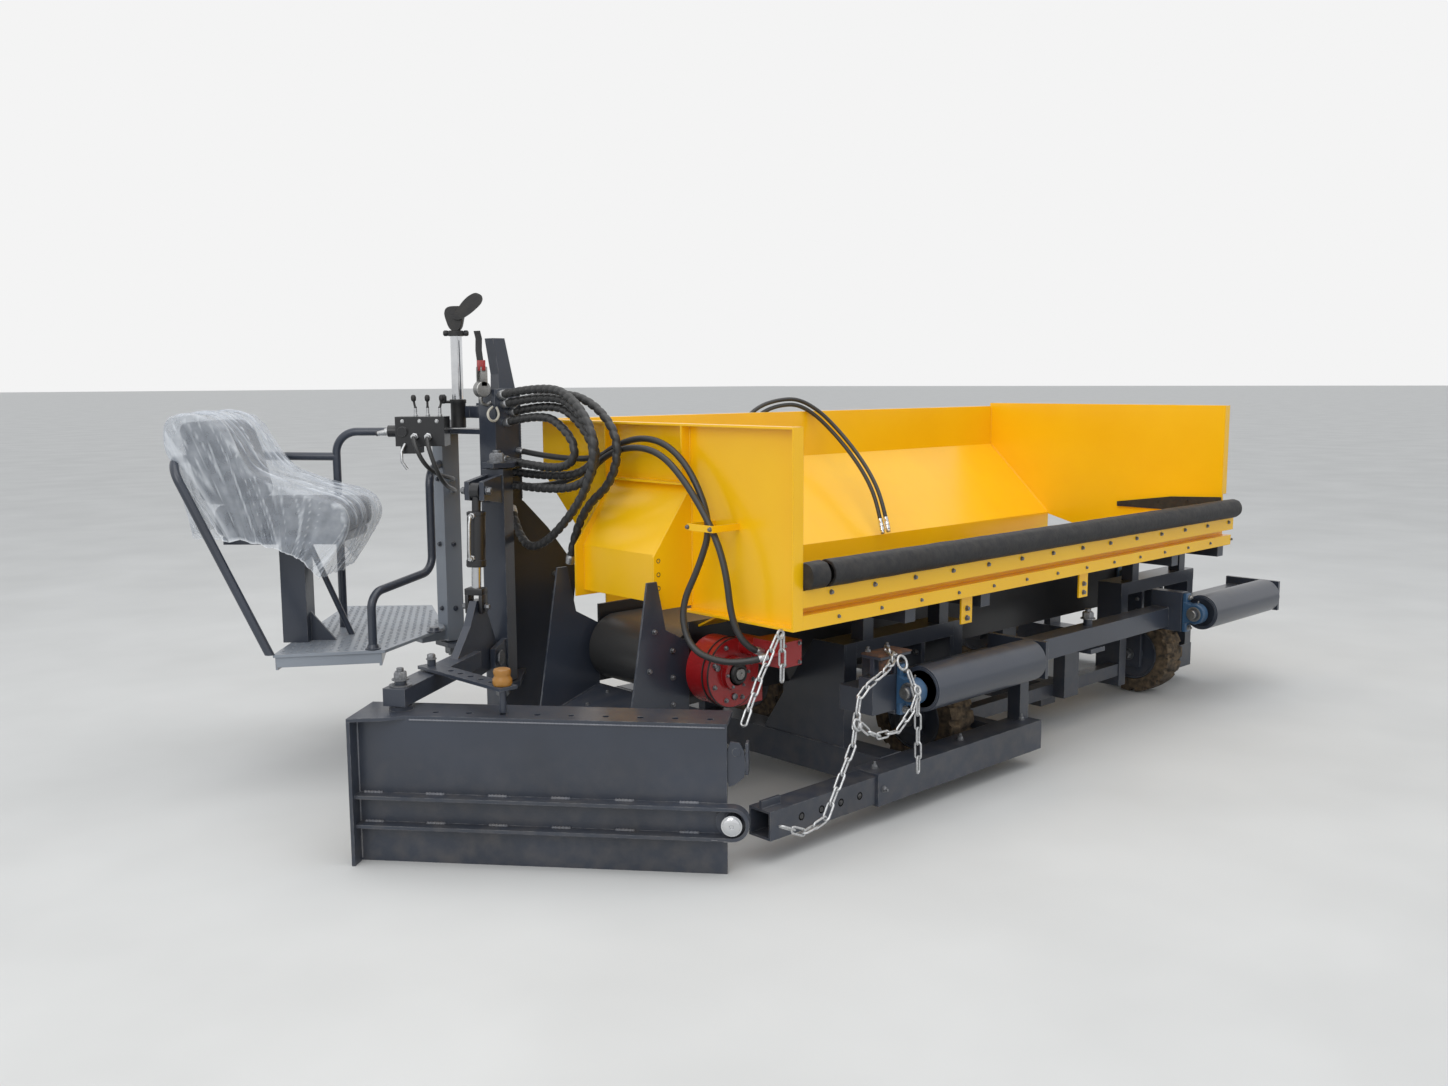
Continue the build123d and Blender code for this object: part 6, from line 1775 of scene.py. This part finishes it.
@dataclass
class Chains:
    """Galvanised chains: from the hopper's corner and over the roller bracket."""

    pitch: float = 53.2
    length: float = 70.0
    width: float = 30.0
    wire: float = 4.0

    def link(self, shape: Shape, middle: Vector, along: Vector, face: Vector) -> None:
        """One welded link of round wire.

        Args:
            shape: the chain that it belongs to.
            middle: its centre.
            along: its long direction.
            face: the direction square to its flat.
        """
        side = face.cross(along).normalized()
        bend = self.width / 2 - self.wire
        straight = self.length / 2 - self.wire - bend
        rings = []
        for a in (tau * k / 28 for k in range(28)):
            shift = straight if cos(a) >= 0 else -straight
            centre = middle + along * (shift + bend * cos(a)) + side * bend * sin(a)
            rings.append(circle(centre, along * cos(a) + side * sin(a), face, self.wire, 8))
        shape.loft(rings, closed=True)

    def lay(self, shape: Shape, corners: Sequence[Point]) -> None:
        """Links along a polyline, each turned a quarter from the last.

        Args:
            shape: the chain that they belong to.
            corners: the polyline.
        """
        route = [Vector(corner) for corner in corners]
        leg, count, start = 0, 0, route[0]
        while True:
            while leg < len(route) - 1 and (route[leg + 1] - start).length < self.pitch:
                leg += 1
            if leg == len(route) - 1:
                break
            # The next link's end: where a sphere of one pitch round its start cuts this leg
            along = (route[leg + 1] - route[leg]).normalized()
            shift = route[leg] - start
            b = shift.dot(along)
            reach = -b + max(b * b - shift.dot(shift) + self.pitch**2, 0) ** 0.5
            end = route[leg] + along * reach
            way = (end - start).normalized()
            side = way.cross(Vector((0.3, -1, 0.1))).normalized()
            self.link(shape, (start + end) / 2, way, side if count % 2 else way.cross(side))
            start = end
            count += 1

    def build(self) -> None:
        """Make both chains."""
        Paint.ZINC.on("hopper_chain", "beam_chain")
        hopper = Shape()
        for corners in HOPPER_CHAINS:
            self.lay(hopper, corners)
        hopper.tube(hoop((-50, 50, 738), 15, 0, 16), 5, 10)
        hopper.build("hopper_chain_links", "chassis", Paint.ZINC, ["hopper_chain"])
        beam = Shape()
        for corners in BEAM_CHAINS:
            self.lay(beam, corners)
        for *middle, radius in ((95, -170, 440, 17), (433, -158, 498, 14), (420, -98, 590, 24)):
            beam.tube(hoop(middle, radius, 0.4, 18), 5, 10)
        beam.build("beam_chain_links", "push_beam", Paint.ZINC, ["beam_chain"])


def main() -> None:
    """Build the studio and each sub-assembly in order."""
    Studio().build()
    Hoses().build_cords()
    Hopper().build()
    Conveyor().build()
    Undercarriage().build()
    for (row, y), (side, x) in product(WHEEL_ROWS.items(), WHEEL_COLUMNS.items()):
        Wheel(f"{row}_{side}", x, y).build()
    PushBeam().build()
    Mast().build()
    Blade().build()
    Platform().build()
    Seat().build()
    Hoses().build()
    Chains().build()


if __name__ == "__main__":
    logging.basicConfig(level=logging.INFO)
    main()
